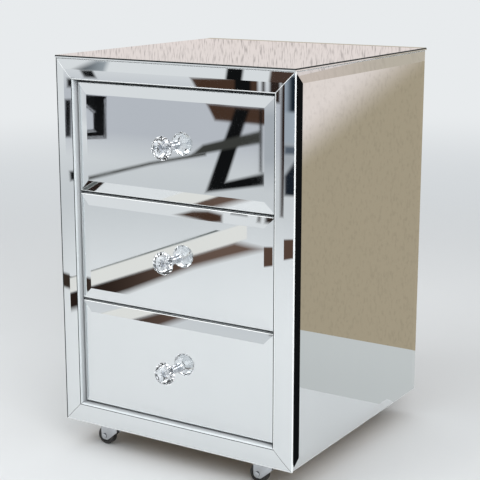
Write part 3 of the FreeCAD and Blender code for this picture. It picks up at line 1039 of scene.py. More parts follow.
@dataclass
class BackPanel:
    """Hardboard back, held by countersunk screws round its edge."""

    node: str = "back_panel"
    inset_mm: float = 14.0
    rows: int = 5
    columns: int = 3
    head_mm: float = 7.0
    shank_mm: float = 3.5
    head_depth_mm: float = 2.0
    lip_mm: float = 0.2
    drive_mm: float = 0.8
    drive_shares: Span = (0.7, 0.35)
    clear_mm: float = 0.05
    steps: int = 20

    def screw_places(self, across: float, up: float) -> list[Point]:
        """Space the screws round the edge of the panel.

        Args:
            across: width of the panel.
            up: height of the panel.
        Returns:
            The screws' places on the panel.
        """
        inset = self.inset_mm * MM
        places = []
        for row in range(self.rows):
            for column in range(self.columns):
                on_edge = row in (0, self.rows - 1) or column in (0, self.columns - 1)
                if on_edge:
                    x = inset + (across - 2 * inset) * column / (self.columns - 1)
                    y = inset + (up - 2 * inset) * row / (self.rows - 1)
                    places.append((x, y))
        return places

    def build(self) -> list[bpy.types.Object]:
        """Make the panel with its countersinks, and the screws in them.

        Returns:
            The panel and its screws.
        """
        low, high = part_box(self.node)
        across, up, thick = Facing.BACK.sizes(high - low)
        lay = Facing.BACK.frame_at(Facing.BACK.low_corner(self.node))
        places = self.screw_places(across, up)
        panel = self.panel(across, up, thick, places)
        panel.transform(lay)
        name = f"{self.node}_board"
        board = piece_from(name, panel, (SCREEN_BOARD,), CABINET, (self.node,), smooth=False)
        heads = bmesh.new()
        for x, y in places:
            self.screw(heads, lay @ Matrix.Translation((x, y, thick)))
        return [board, piece_from("back_panel_screws", heads, (ZINC_STEEL,), CABINET)]

    def panel(self, across: float, up: float, thick: float, places: Sequence[Point]) -> Shape:
        """Make the board with a conical recess at each place.

        Args:
            across: width of the board.
            up: height of the board.
            thick: thickness of the board.
            places: centres of the recesses.
        Returns:
            The board.
        """
        shape = bmesh.new()
        corners = ((0, 0), (across, 0), (across, up), (0, up))
        back, front = (ring(shape, [(x, y, z) for x, y in corners]) for z in (0.0, thick))
        bridge(shape, back, front)
        shape.faces.new(back)
        rims = []
        floor = thick - self.head_depth_mm * MM
        for centre in places:
            rim, pit = (
                ring(shape, [(x, y, z) for x, y in circle(centre, diameter * MM / 2, self.steps)])
                for diameter, z in ((self.head_mm, thick), (self.shank_mm, floor))
            )
            bridge(shape, rim, pit)
            shape.faces.new(pit)
            rims.append(rim)
        close_with_holes(shape, front, rims)
        return shape

    def screw(self, shape: Shape, where: Matrix) -> None:
        """Add a countersunk head that fills its recess, with a recessed drive in its face.

        Args:
            shape: the mesh to add to.
            where: the middle of the recess's mouth, with Z pointing out of the panel.
        """
        clear = self.clear_mm * MM
        rim = self.head_mm * MM / 2 - clear
        shank = self.shank_mm * MM / 2 - clear
        depth = self.head_depth_mm * MM - clear
        mouth, floor = (shank * share for share in self.drive_shares)
        profile = (
            (shank, -depth),
            (rim, -self.lip_mm * MM),
            (rim - clear, -clear),
            (mouth, -clear),
            (floor, -self.drive_mm * MM),
        )
        lathe(shape, profile, self.steps, where)


@dataclass
class CrystalKnob:
    """A cut crystal on a turned metal base, held by a screw through the drawer front."""

    name: str
    facets: int = 12
    # Radius and depth of each ring of corners, and its turn in steps of a facet, from the cup to the table
    ring_shares: tuple[tuple[float, float, float], ...] = (
        (0.40, 0.00, 0.0),
        (0.76, 0.25, 0.5),
        (1.00, 0.52, 0.0),
        (1.00, 0.60, 0.0),
        (0.84, 0.83, 0.5),
        (0.56, 1.00, 0.0),
    )
    foot_mm: float = 14.0
    foot_height_mm: float = 2.5
    bead_mm: float = 1.0
    neck_mm: float = 9.0
    cup_mm: float = 15.0
    cup_height_mm: float = 3.5
    seat_mm: float = 0.15
    waist_degrees: Span = (250.0, 110.0)
    waist_steps: int = 12
    steps: int = 40

    @property
    def body(self) -> str:
        """The drawer that the knob rides on."""
        return f"{self.name}_drawer"

    def build(self) -> list[bpy.types.Object]:
        """Cut the crystal, turn its base and dress its screw.

        Returns:
            The three pieces.
        """
        return [self.crystal(), self.base(), dress(f"{self.name}_knob_screw", ZINC_STEEL)]

    def axis_at(self, node: str) -> tuple[Matrix, float, float]:
        """Measure a node that is turned round an axis.

        Args:
            node: the node.
        Returns:
            The foot of its axis on the drawer's side, its length and its radius.
        """
        low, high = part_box(node)
        middle = (low + high) / 2
        foot = Vector((middle.x, high.y, middle.z))
        return Facing.FRONT.frame_at(foot), high.y - low.y, (high.x - low.x) / 2

    def crystal(self) -> bpy.types.Object:
        """Span flat facets over the rings of corners.

        Returns:
            The crystal.
        """
        node = f"{self.name}_knob"
        where, depth, radius = self.axis_at(node)
        shape = bmesh.new()
        step = math.tau / self.facets
        for radius_share, depth_share, turn in self.ring_shares:
            for index in range(self.facets):
                angle = step * (index + turn)
                reach = radius * radius_share
                spot = Vector((reach * math.cos(angle), reach * math.sin(angle), depth * depth_share))
                shape.verts.new(where @ spot)
        bmesh.ops.convex_hull(shape, input=shape.verts)
        merge_flat_faces(shape)
        name = f"{node}_crystal"
        return piece_from(name, shape, (CUT_CRYSTAL,), self.body, (node,), smooth=False)

    def base(self) -> bpy.types.Object:
        """Turn the base: a beaded foot, a waisted neck and a cup under the crystal.

        Returns:
            The base.
        """
        node = f"{self.name}_knob_base"
        where, length, _ = self.axis_at(node)
        length -= self.seat_mm * MM
        foot = self.foot_mm * MM / 2
        neck = self.neck_mm * MM / 2
        cup = self.cup_mm * MM / 2
        foot_top = self.foot_height_mm * MM
        bead = self.bead_mm * MM
        cup_low = length - self.cup_height_mm * MM
        waist = (cup_low - foot_top) / 2
        profile = (
            (foot, 0.0),
            *arc((foot - bead, foot_top - bead), bead, 0, 90),
            *arc((neck + waist, foot_top + waist), waist, *self.waist_degrees, self.waist_steps),
            (cup, length - bead),
            (cup, length),
        )
        shape = bmesh.new()
        lathe(shape, profile, self.steps, where)
        return piece_from(f"{node}_turned", shape, (NICKELLED_ZINC,), self.body, (node,))


@dataclass
class Drawer:
    """A drawer: its mirror, front board, box, runner members, screws and knob."""

    name: str
    board_ease_mm: float = 0.8
    steel_ease_mm: float = 0.3
    knob_hole_mm: float = 4.4
    screw_head_mm: float = 7.0
    screw_rise_mm: float = 1.8
    # Radius and height of each ring of a pan head, as shares of the head's
    head_shares: tuple[Point, ...] = ((1.0, 0.0), (1.0, 0.4), (0.8, 0.82), (0.4, 1.0), (0.35, 0.4))
    web_mm: float = 1.2
    screw_shares: tuple[float, ...] = (0.08, 0.5, 0.92)
    steps: int = 20

    @property
    def body(self) -> str:
        """The body that the drawer's pieces ride on."""
        return f"{self.name}_drawer"

    def build(self) -> list[bpy.types.Object]:
        """Make and dress every piece of the drawer.

        Returns:
            The pieces.
        """
        own = self.body
        mirror = MirrorSheet(
            f"{own}_mirror", own, Facing.FRONT, edge=GlassFace.POLISHED, hole_mm=self.knob_hole_mm
        )
        front = eased_piece(f"{own}_front", self.board_ease_mm, LACQUERED_BOARD, own)
        box = [
            eased_piece(f"{own}_{part}", self.board_ease_mm, FACED_BOARD, own)
            for part in ("sides", "back", "bottom")
        ]
        members = eased_piece(f"{own}_slide_members", self.steel_ease_mm, ZINC_STEEL, own)
        carriers = eased_piece(
            f"{own}_slide_carriers", self.steel_ease_mm, ZINC_STEEL, f"{self.name}_carriers"
        )
        knob = CrystalKnob(self.name).build()
        return [mirror.build(), front, *box, members, carriers, self.runner_screws(), *knob]

    def runner_screws(self) -> bpy.types.Object:
        """Add the pan-head screws that hold the runner members to the drawer's sides.

        Returns:
            The screws, as one piece.
        """
        low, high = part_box(f"{self.body}_slide_members")
        side_low, side_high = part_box(f"{self.body}_sides")
        middle = (low.z + high.z) / 2
        head = self.screw_head_mm * MM / 2
        rise = self.screw_rise_mm * MM
        web = self.web_mm * MM
        profile = [(head * radius, rise * height) for radius, height in self.head_shares]
        shape = bmesh.new()
        for facing, x in ((Facing.LEFT, side_low.x - web), (Facing.RIGHT, side_high.x + web)):
            for share in self.screw_shares:
                spot = Vector((x, low.y + share * (high.y - low.y), middle))
                lathe(shape, profile, self.steps, facing.frame_at(spot))
        return piece_from(f"{self.body}_runner_screws", shape, (ZINC_STEEL,), self.body)


@dataclass
class Casters:
    """Four swivel casters: plates and screws on the cabinet, forks, axles and wheels that turn."""

    plate_ease_mm: float = 0.4
    fork_ease_mm: float = 0.5
    axle_ease_mm: float = 0.6
    crown_mm: float = 36.0
    shoulder_mm: float = 4.0
    shoulder_length_mm: float = 20.0
    shoulder_steps: int = 6
    level_mm: float = 0.1

    def build(self) -> list[bpy.types.Object]:
        """Dress every piece of the casters.

        Returns:
            The pieces.
        """
        pieces = [
            eased_piece("caster_plates", self.plate_ease_mm, CHROMED_STEEL, CABINET),
            dress("caster_screws", ZINC_STEEL),
        ]
        for name in CASTER_NAMES:
            swivel = f"caster_{name}_swivel"
            pieces += [
                self.fork(f"caster_{name}_fork", swivel),
                self.axle(f"caster_{name}_axle", swivel),
                dress(f"caster_{name}_wheel", MOULDED_NYLON),
            ]
        return pieces

    def axle(self, node: str, swivel: str) -> bpy.types.Object:
        """Round the ends of an axle."""
        return eased_piece(node, self.axle_ease_mm, CHROMED_STEEL, swivel)

    def fork(self, node: str, swivel: str) -> bpy.types.Object:
        """Round the shoulders where a pressed fork's cheeks bend over to its crown, then ease its edges.

        Args:
            node: the fork's node.
            swivel: the body that it rides on.
        Returns:
            The fork.
        """
        shape = plain_copy(node)
        shoulders = [edge for edge in shape.edges if self.is_shoulder(edge)]
        round_edges(shape, shoulders, self.shoulder_mm, self.shoulder_steps)
        ease_sharp_edges(shape, self.fork_ease_mm)
        return piece_from(f"{node}_pressed", shape, (CHROMED_STEEL,), swivel, (node,))

    def is_shoulder(self, edge: bmesh.types.BMEdge) -> bool:
        """Tell whether an edge runs along a cheek at the height of the crown.

        Args:
            edge: an edge of the fork.
        Returns:
            Whether it does.
        """
        first, second = (corner.co for corner in edge.verts)
        slack = self.level_mm * MM
        level = all(abs(spot.z - self.crown_mm * MM) < slack for spot in (first, second))
        along = abs(first.y - second.y) < slack
        return level and along and abs(first.x - second.x) > self.shoulder_length_mm * MM


# Name of a card's values for how far it hides what lies behind
COVER = "cover"
# Where cards lie and stand, in front of the chest and behind it, and how far apart their layers are
CARD_LIFT = 0.003
LAYER_GAP = 0.01
FLAG_Y = -1.5
FLAG_FEATHER = 0.01
CRYSTAL_Y = -2.3
GREY_Y = -2.6
NEAR_Y = -0.6
WALL_Y = 0.25
WALL_REACH = 2.2
WALL_FADE = (0.6, 2.0)
# Heights of the bands behind the chest
FOOT_TOP = 0.118
BAND_LOW = 0.648
BAND_TOP = 0.674
WALL_TOP = 1.3
# The part of the noise that the streaks of a card take up
STREAK_SPAN = (0.3, 0.5)
ACROSS = (1.0, 0.0, 0.0)

# Tones of glowing cards that paint dark reflections of furniture in the mirrors; no lamp lights them
BLACK_REFLECTION = "121314"
BROWN_REFLECTION = "49352A"
UMBER_REFLECTION = "2E2420"
TAUPE_REFLECTION = "5A463C"
OLIVE_REFLECTION = "3F403D"
NAVY_REFLECTION = "1B222B"


def block(left: float, right: float, low: float, high: float) -> tuple[Point, ...]:
    """Outline of a plain rectangle."""
    return (left, low), (right, low), (right, high), (left, high)


def standing(outline: Iterable[Point], y: float) -> tuple[Spot, ...]:
    """Corners of an outline in X and Z that stands at a depth and looks forward."""
    return tuple((x, y, z) for x, z in outline)


def wall(low: float, high: float) -> tuple[Spot, ...]:
    """Corners of a band right across behind the chest, between two heights."""
    return standing(block(-WALL_REACH, WALL_REACH, low, high), WALL_Y)


def facing_chest(outline: Sequence[Point], y: float = FLAG_Y) -> tuple[Spot, ...]:
    """Corners of an outline in X and Z that stands in front of the chest and looks back at it."""
    return standing(reversed(outline), y)


def upright(start: Spot, stop: Spot, height: float) -> tuple[Spot, ...]:
    """Corners of a card that stands on the line between two low corners."""
    (x, y, z), (end_x, end_y, end_z) = start, stop
    return start, stop, (end_x, end_y, end_z + height), (x, y, z + height)


def lying(outline: Iterable[Point]) -> tuple[Spot, ...]:
    """Corners of an outline in X and Y that lies on the floor."""
    return tuple((x, y, CARD_LIFT) for x, y in outline)


@dataclass(frozen=True)
class Card:
    """A plain card that paints a reflection: unlit, it glows in its own colour and is seen in mirrors and
    glass only, from its front.

    Its colour fades between two tones, from one distance to another along a direction; on some cards the
    fade is painted light and shade of the room that the card paints.
    """

    name: str
    corners: tuple[Spot, ...]
    tones: tuple[str, str]
    fade: Span = (0.0, 1.0)
    along: Spot = (0.0, 0.0, 1.0)
    feather: float = 0.0
    mottle: float = 0.0
    mottle_mm: Point = (4.0, 20.0)
    end_fade: Span | None = None
    clears_upward: bool = False
    for_crystal: bool = False

    @classmethod
    def plain(cls, name: str, tone: str, corners: tuple[Spot, ...], feather: float = 0.0) -> "Card":
        """Make a card of one tone."""
        return cls(name, corners, (tone, tone), feather=feather)

    @classmethod
    def flag(cls, name: str, tone: str, outline: Sequence[Point], layer: int = 0) -> "Card":
        """Stand a card of one tone far in front, its outline in X and Z, maybe some layers nearer."""
        return cls.plain(name, tone, facing_chest(outline, FLAG_Y + layer * LAYER_GAP), FLAG_FEATHER)

    def build(self) -> bpy.types.Object:
        """Put the card on the stage.

        Returns:
            The card.
        """
        shape = bmesh.new()
        cover = shape.verts.layers.float.new(COVER)
        inner = ring(shape, self.outline(-self.feather / 2))
        top = max(corner.co.z for corner in inner)
        for corner in inner:
            corner[cover] = 0.0 if self.clears_upward and corner.co.z == top else 1.0
        shape.faces.new(inner)
        if self.feather:
            bridge(shape, ring(shape, self.outline(self.feather / 2)), inner)
        made = object_from(self.name, shape, [self.material()])
        made.visible_camera = False
        made.visible_diffuse = False
        made.visible_shadow = False
        made.visible_volume_scatter = False
        made.visible_glossy = not self.for_crystal
        return made

    def outline(self, spread: float) -> list[Vector]:
        """Give the card's corners with its edges moved outwards in its plane.

        Args:
            spread: how far each edge moves.
        Returns:
            The moved corners.
        """
        corners = [Vector(corner) for corner in self.corners]
        count = len(corners)
        edges = [(corners[(i + 1) % count] - corners[i]).normalized() for i in range(count)]
        facing = (corners[1] - corners[0]).cross(corners[2] - corners[1]).normalized()
        ways = [edge.cross(facing) for edge in edges]
        moved = []
        for index, corner in enumerate(corners):
            before, after = ways[index - 1], ways[index]
            moved.append(corner + (before + after) * spread / (1 + before.dot(after)))
        return moved

    def material(self) -> bpy.types.Material:
        """Make the card's painted reflection: a glow of its colour, unlit, that shows from its front only.

        Returns:
            The card's material.
        """
        # Named as paper, but the colour glows as emission: a painted reflection
        made = bpy.data.materials.new(f"{self.name}_paper")
        tree = bare_tree(made)
        place = add_node(tree, "ShaderNodeTexCoord").outputs["Object"]
        glow = add_node(tree, "ShaderNodeEmission", {"Strength": 1.0}, {"Color": self.colour(tree, place)})
        clear = add_node(tree, "ShaderNodeBsdfTransparent")
        behind = add_node(tree, "ShaderNodeNewGeometry").outputs["Backfacing"]
        minus = {"operation": "SUBTRACT", "use_clamp": True}
        shown = add_node(tree, "ShaderNodeMath", minus, {0: self.cover(tree, place), 1: behind})
        sources = {0: shown.outputs["Value"], 1: clear.outputs["BSDF"], 2: glow.outputs["Emission"]}
        sided = add_node(tree, "ShaderNodeMixShader", links=sources)
        add_node(tree, "ShaderNodeOutputMaterial", links={"Surface": sided.outputs["Shader"]})
        return made

    def colour(self, tree: Tree, place: Socket) -> Socket:
        """Fade between the tones, with streaks where the card has a mottle.

        Args:
            tree: the material's nodes.
            place: the point of the card.
        Returns:
            The colour there.
        """
        measure = {"operation": "DOT_PRODUCT", 1: self.along}
        distance = add_node(tree, "ShaderNodeVectorMath", measure, {0: place}).outputs["Value"]
        span = {"From Min": self.fade[0], "From Max": self.fade[1], "interpolation_type": "SMOOTHSTEP"}
        share = add_node(tree, "ShaderNodeMapRange", span, {"Value": distance}).outputs["Result"]
        tones = {"Color1": linear(self.tones[0]), "Color2": linear(self.tones[1])}
        colour = add_node(tree, "ShaderNodeMixRGB", tones, {"Fac": share}).outputs["Color"]
        if not self.mottle:
            return colour
        across, along = (per_metre(size) for size in self.mottle_mm)
        stretch = {"Scale": (across, across, along)}
        laid = add_node(tree, "ShaderNodeMapping", stretch, {"Vector": place}).outputs["Vector"]
        fine = {"Scale": 1.0, "Detail": TONE_DETAIL}
        streaks = add_node(tree, "ShaderNodeTexNoise", fine, {"Vector": laid}).outputs["Fac"]
        low, high = STREAK_SPAN
        depth = {"From Min": low, "From Max": high, "To Min": 1.0 - self.mottle, "To Max": 1.0}
        dim = add_node(tree, "ShaderNodeMapRange", depth, {"Value": streaks}).outputs["Result"]
        shade = {"blend_type": "MULTIPLY", "Fac": 1.0}
        return add_node(tree, "ShaderNodeMixRGB", shade, {"Color1": colour, "Color2": dim}).outputs["Color"]

    def cover(self, tree: Tree, place: Socket) -> Socket:
        """Tell how far the card hides what lies behind: less at soft edges and towards faded ends.

        Args:
            tree: the material's nodes.
            place: the point of the card.
        Returns:
            The share that it hides there.
        """
        cover = add_node(tree, "ShaderNodeAttribute", {"attribute_name": COVER}).outputs["Fac"]
        if not self.end_fade:
            return cover
        size = {"operation": "ABSOLUTE"}
        aside = add_node(tree, "ShaderNodeVectorMath", size, {"Vector": place}).outputs["Vector"]
        reach = add_node(tree, "ShaderNodeSeparateXYZ", links={"Vector": aside}).outputs["X"]
        full, gone = self.end_fade
        fall = {"From Min": gone, "From Max": full, "interpolation_type": "SMOOTHSTEP"}
        sources = {"Value": reach, "To Max": cover}
        return add_node(tree, "ShaderNodeMapRange", fall, sources).outputs["Result"]


REFLECTION_CARDS = (
    # Behind the chest, for its sides and top, painted reflections of a wall: a warm field with a painted
    # patch of light, a band, a pale field of painted light above and a white foot
    # Its diagonal fade from tan to pinkish white paints light falling across the wall, the tan part the
    # chest's painted shadow
    Card(
        "warm_card",
        wall(FOOT_TOP, BAND_LOW),
        ("AEA28B", "EFE4DE"),
        fade=(0.82, 0.93),
        along=(0.84, 0.0, 1.0),
        mottle=0.1,
        mottle_mm=(4.0, 9.0),
        end_fade=WALL_FADE,
    ),
    Card(
        "band_card",
        wall(BAND_LOW, BAND_TOP),
        ("C4BBAC", "D4C7BD"),
        fade=(0.26, 0.46),
        along=ACROSS,
        mottle=0.1,
        end_fade=WALL_FADE,
    ),
    # Its pinkish-white lower part is painted light on the wall, streaked by the mottle
    Card(
        "light_card",
        wall(BAND_TOP, WALL_TOP),
        ("E8DEDA", "E8EBED"),
        fade=(0.76, 1.25),
        mottle=0.45,
        mottle_mm=(2.6, 18.0),
        end_fade=WALL_FADE,
        clears_upward=True,
    ),
    Card(
        "white_foot_card",
        wall(0.0, FOOT_TOP),
        ("C8CCCC", "CDD1D1"),
        fade=(0.0, FOOT_TOP),
        end_fade=WALL_FADE,
    ),
    # A black card beside the right side's front edge: a painted dark reflection in that side's front bevel
    Card.plain("side_flag", BLACK_REFLECTION, upright((0.245, -0.17, 0.0), (0.341, -0.089, 0.0), 0.66)),
    # Far in front, for the knobs, the drawers and the strips round them: painted dark reflections of
    # furniture
    # A black card seen through the crystal only: painted dark facets in the knobs
    Card(
        "crystal_flag",
        facing_chest(block(0.8, 1.7, 0.0, 1.5), CRYSTAL_Y),
        (BLACK_REFLECTION, BLACK_REFLECTION),
        for_crystal=True,
    ),
    Card(
        "grey_card",
        facing_chest(block(-3.4, 0.6, 0.06, 0.33), GREY_Y),
        ("C3C7CE", "AAB0B6"),
        fade=(-0.9, -0.35),
        along=ACROSS,
        feather=0.12,
    ),
    Card.flag(
        "leaning_flag",
        BLACK_REFLECTION,
        ((-0.80, 0.174), (-0.61, 0.212), (-0.61, 0.245), (-0.733, 0.21), (-0.658, 0.414), (-0.702, 0.416)),
    ),
    Card.flag("leaning_top_flag", BLACK_REFLECTION, block(-0.688, -0.638, 0.452, 0.5), 1),
    Card.flag("edge_flag", BLACK_REFLECTION, block(-0.619, -0.612, 0.25, 0.42), 1),
    Card.flag(
        "slat_flag",
        OLIVE_REFLECTION,
        ((-0.839, 0.275), (-0.61, 0.33), (-0.61, 0.363), (-0.795, 0.31)),
        2,
    ),
    Card.flag(
        "slat_end_flag",
        OLIVE_REFLECTION,
        (
            (-1.217, 0.168),
            (-0.994, 0.233),
            (-0.80, 0.278),
            (-0.80, 0.286),
            (-0.994, 0.241),
            (-1.217, 0.178),
        ),
    ),
    Card.flag(
        "panel_flag",
        BROWN_REFLECTION,
        ((-0.775, 0.376), (-0.61, 0.375), (-0.61, 0.42), (-0.802, 0.42)),
        -1,
    ),
    Card.flag(
        "panel_top_flag",
        BROWN_REFLECTION,
        ((-0.822, 0.458), (-0.628, 0.458), (-0.628, 0.5), (-0.845, 0.49)),
        -1,
    ),
    Card.flag(
        "panel_low_flag",
        BROWN_REFLECTION,
        ((-0.87, 0.431), (-0.76, 0.421), (-0.72, 0.426), (-0.723, 0.447), (-0.77, 0.452), (-0.82, 0.447)),
    ),
    Card.flag("tall_flag", BLACK_REFLECTION, block(-0.727, -0.675, 0.8, 0.95)),
    Card.flag("corner_flag", "4A3A33", block(-0.59, -0.5, 0.8, 0.95)),
    Card.flag("corner_foot_flag", UMBER_REFLECTION, block(-0.585, -0.553, 0.44, 0.52)),
    Card.flag("corner_bar_flag", UMBER_REFLECTION, block(-0.609, -0.6, 0.44, 0.51)),
    Card.flag(
        "left_flag",
        BLACK_REFLECTION,
        (
            (-1.225, 0.293),
            (-1.15, 0.301),
            (-1.147, 0.415),
            (-1.225, 0.415),
            (-1.225, 0.392),
            (-1.188, 0.37),
            (-1.188, 0.318),
            (-1.225, 0.312),
        ),
    ),
    Card.flag(
        "left_bar_flag",
        BLACK_REFLECTION,
        ((-1.289, 0.292), (-1.266, 0.294), (-1.262, 0.406), (-1.285, 0.404)),
    ),
    Card.flag(
        "left_low_flag",
        BLACK_REFLECTION,
        ((-1.273, 0.163), (-1.25, 0.169), (-1.25, 0.195), (-1.275, 0.191)),
    ),
    Card.flag("left_hook_flag", BLACK_REFLECTION, block(-1.275, -1.25, 0.441, 0.466)),
    Card.flag(
        "left_step_flag",
        BLACK_REFLECTION,
        ((-1.209, 0.473), (-1.166, 0.473), (-1.181, 0.496), (-1.225, 0.494)),
    ),
    Card(
        "left_high_flag",
        facing_chest(((-1.26, 0.84), (-1.14, 0.84), (-1.13, 0.88), (-1.17, 0.88))),
        ("33383E", "A0A8AE"),
        fade=(-1.26, -1.12),
        along=ACROSS,
        feather=0.02,
    ),
    Card.flag("thin_flag", "2A1D19", ((-0.550, 0.135), (-0.541, 0.135), (-0.524, 0.5), (-0.549, 0.5))),
    Card.flag("far_card", "A5AFB9", block(-0.13, -0.075, 0.36, 0.56)),
    Card(
        "far_flag",
        facing_chest(block(-0.125, -0.075, 0.44, 0.53), FLAG_Y + LAYER_GAP),
        ("98A4B0", "16212C"),
        fade=(-0.122, -0.102),
        along=ACROSS,
        feather=FLAG_FEATHER,
    ),
    Card.flag("far_bar_flag", "5A6470", block(-0.125, -0.085, 0.332, 0.352)),
    Card.flag(
        "far_foot_flag",
        NAVY_REFLECTION,
        ((-0.125, 0.225), (-0.085, 0.225), (-0.085, 0.332), (-0.125, 0.275)),
    ),
    # Near in front and low, for the middle and bottom drawers: a white bench's painted reflection and the
    # painted shadow below it
    # The brown band paints the shadow under the white bench that the next card paints
    Card(
        "near_shadow_flag",
        facing_chest(
            (
                (-0.64, 0.055),
                (-0.39, 0.157),
                (-0.231, 0.229),
                (-0.159, 0.255),
                (-0.07, 0.286),
                (-0.135, 0.292),
                (-0.484, 0.158),
                (-0.64, 0.098),
            ),
            NEAR_Y,
        ),
        ("2A201B", "6E5A50"),
        fade=(-0.5, -0.12),
        along=ACROSS,
        feather=0.014,
    ),
    Card.plain(
        "near_card",
        "EEEEEA",
        facing_chest(
            ((-0.64, 0.0953), (-0.10, 0.3043), (-0.10, 0.3353), (-0.64, 0.1263)),
            NEAR_Y + LAYER_GAP,
        ),
        0.004,
    ),
    Card.plain("near_left_flag", "3A302A", facing_chest(block(-0.82, -0.68, 0.097, 0.13), NEAR_Y), 0.008),
    Card.plain(
        "near_right_flag",
        TAUPE_REFLECTION,
        upright((0.009, -0.801, 0.214), (0.037, -0.639, 0.253), 0.039),
        0.004,
    ),
    Card.plain(
        "near_edge_flag",
        TAUPE_REFLECTION,
        upright((0.075, -0.801, 0.240), (0.098, -0.639, 0.277), 0.039),
        0.004,
    ),
    # On the floor in front: painted reflections of a dark foot and a grey line
    Card.plain(
        "floor_foot_flag",
        "2C231F",
        lying(((-0.99, -1.10), (-0.91, -1.10), (-0.90, -1.04), (-0.98, -1.04))),
    ),
    Card.plain(
        "floor_line_flag",
        "6F7675",
        lying(((-0.93, -1.75), (-0.915, -1.75), (-0.93, -1.0), (-0.945, -1.0))),
        0.005,
    ),
)


@dataclass(frozen=True)
class SoftLamp:
    """A large square lamp that looks at the chest."""

    name: str
    place: Spot
    side: float
    power: float
    in_mirrors: bool = True

    def build(self, target: Vector) -> bpy.types.Object:
        """Hang the lamp and turn it to a target.

        Args:
            target: the point that it looks at.
        Returns:
            The lamp.
        """
        data = bpy.data.lights.new(self.name, "AREA")
        data.size = self.side
        data.energy = self.power
        made = bpy.data.objects.new(self.name, data)
        bpy.context.scene.collection.objects.link(made)
        made.location = self.place
        made.rotation_euler = (target - made.location).to_track_quat("-Z", "Y").to_euler()
        made.visible_camera = False
        made.visible_glossy = self.in_mirrors
        return made


@dataclass(frozen=True)
class SweptPaper(Finish):
    """Backdrop paper: the floor near the chest takes shadows, and further out it shows even tones."""

    even_tone: str = "D4D8DB"
    fade: Span = (1.0, 2.6)
    far_tone: str = "E8EBED"
    far_fade: Span = (2.4, 4.6)

    def material(self) -> bpy.types.Material:
        """Blend the lit paper to the even tones with distance, for the eye, mirrors and glass.

        Returns:
            The paper's material.
        """
        made = super().material()
        tree = made.node_tree
        end = next(node for node in tree.nodes if node.type == "OUTPUT_MATERIAL")
        lit = end.inputs["Surface"].links[0].from_socket
        place = add_node(tree, "ShaderNodeTexCoord").outputs["Object"]
        length = {"operation": "LENGTH"}
        reach = add_node(tree, "ShaderNodeVectorMath", length, {"Vector": place}).outputs["Value"]
        path = add_node(tree, "ShaderNodeLightPath").outputs
        seen = path["Is Camera Ray"]
        for other in ("Is Glossy Ray", "Is Transmission Ray"):
            either = {"operation": "MAXIMUM"}
            seen = add_node(tree, "ShaderNodeMath", either, {0: seen, 1: path[other]}).outputs["Value"]
        rise = {"From Min": self.fade[0], "From Max": self.fade[1], "interpolation_type": "SMOOTHSTEP"}
        share = add_node(tree, "ShaderNodeMapRange", rise, {"Value": reach, "To Max": seen})
        rise |= {"From Min": self.far_fade[0], "From Max": self.far_fade[1]}
        far = add_node(tree, "ShaderNodeMapRange", rise, {"Value": reach}).outputs["Result"]
        tones = {"Color1": linear(self.even_tone), "Color2": linear(self.far_tone)}
        tone = add_node(tree, "ShaderNodeMixRGB", tones, {"Fac": far}).outputs["Color"]
        glow = add_node(tree, "ShaderNodeEmission", {"Strength": 1.0}, {"Color": tone})
        sources = {0: share.outputs["Result"], 1: lit, 2: glow.outputs["Emission"]}
        blend = add_node(tree, "ShaderNodeMixShader", links=sources)
        tree.links.new(blend.outputs["Shader"], end.inputs["Surface"])
        return made


# Uncoated backdrop paper: matt, pale and even
BACKDROP_PAPER = SweptPaper(
    name="backdrop_paper_matt",
    tones=("D8DADB", "D4D6D7"),
    tone_mm=900.0,
    roughness=(0.85, 0.95),
    smear_mm=600.0,
    grain_mm=3.0,
    grain_height_mm=0.02,
    sockets={"Specular IOR Level": 0.1},
)


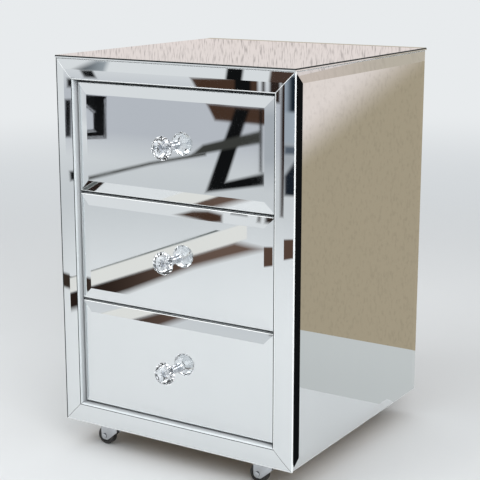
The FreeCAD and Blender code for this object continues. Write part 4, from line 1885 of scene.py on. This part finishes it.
@dataclass
class Studio:
    """Plain pale floor that sweeps up all round, soft lamps, reflection cards and the camera."""

    floor_radius: float = 4.5
    flat_share: float = 0.5
    sweep: float = 1.8
    sweep_steps: int = 16
    wall_height: float = 3.2
    smooth_degrees: float = 60.0
    world_colour: str = "F4F6F8"
    world_strength: float = 0.55
    eye: Spot = (1.1374, -1.8155, 0.8456)
    target: Spot = (0.1303, -0.2143, 0.4071)
    lens_mm: float = 95.42
    sensor_mm: float = 36.0
    steps: int = 96
    lamps: tuple[SoftLamp, ...] = (
        SoftLamp("key_lamp", (-1.8, -2.6, 3.0), 2.4, 60.0),
        SoftLamp("top_lamp", (0.2, 0.2, 3.6), 4.4, 60.0, in_mirrors=False),
        SoftLamp("right_lamp", (2.6, -2.2, 2.4), 2.4, 75.0),
    )
    cards: tuple[Card, ...] = REFLECTION_CARDS

    def build(self) -> None:
        """Set the stage."""
        scene = bpy.context.scene
        scene.view_settings.view_transform = "Standard"
        self.floor()
        self.world(scene)
        for lamp in self.lamps:
            lamp.build(Vector(self.target))
        for card in self.cards:
            card.build()
        self.camera(scene)

    def floor(self) -> bpy.types.Object:
        """Turn a floor that sweeps up to a wall all round.

        Returns:
            The floor.
        """
        bend = arc((self.floor_radius, self.sweep), self.sweep, 270, 360, self.sweep_steps)
        flat = (self.floor_radius * self.flat_share, 0.0)
        top = (self.floor_radius + self.sweep, self.wall_height)
        shape = bmesh.new()
        lathe(shape, (flat, *bend, top), self.steps, Matrix(), closed=False)
        bmesh.ops.recalc_face_normals(shape, faces=shape.faces)
        made = object_from("studio_floor", shape, [BACKDROP_PAPER.material()])
        smooth_round(made, self.smooth_degrees)
        return made

    def world(self, scene: bpy.types.Scene) -> None:
        """Fill the studio with even light.

        Args:
            scene: the scene to light.
        """
        world = bpy.data.worlds.new("studio_light")
        tree = bare_tree(world)
        light = {"Color": linear(self.world_colour), "Strength": self.world_strength}
        sky = add_node(tree, "ShaderNodeBackground", light)
        add_node(tree, "ShaderNodeOutputWorld", links={"Surface": sky.outputs["Background"]})
        scene.world = world

    def camera(self, scene: bpy.types.Scene) -> None:
        """Stand the camera where the chest is seen from its right front corner, a little from above.

        Args:
            scene: the scene to look at.
        """
        data = bpy.data.cameras.new("camera")
        data.sensor_width = self.sensor_mm
        data.lens = self.lens_mm
        made = bpy.data.objects.new("camera", data)
        scene.collection.objects.link(made)
        made.location = self.eye
        gaze = Vector(self.target) - made.location
        made.rotation_euler = gaze.to_track_quat("-Z", "Y").to_euler()
        scene.camera = made


def main() -> None:
    """Build and dress the chest, sub-assembly by sub-assembly, and set the stage."""
    logging.basicConfig(level=logging.INFO, format="%(message)s")
    assemblies = (Cladding(), Carcase(), *(Drawer(name) for name in DRAWER_NAMES), Casters())
    for assembly in assemblies:
        for piece in assembly.build():
            log.info("%s: %s on %s", type(assembly).__name__, piece.name, piece["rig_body"])
    Studio().build()


if __name__ == "__main__":
    main()
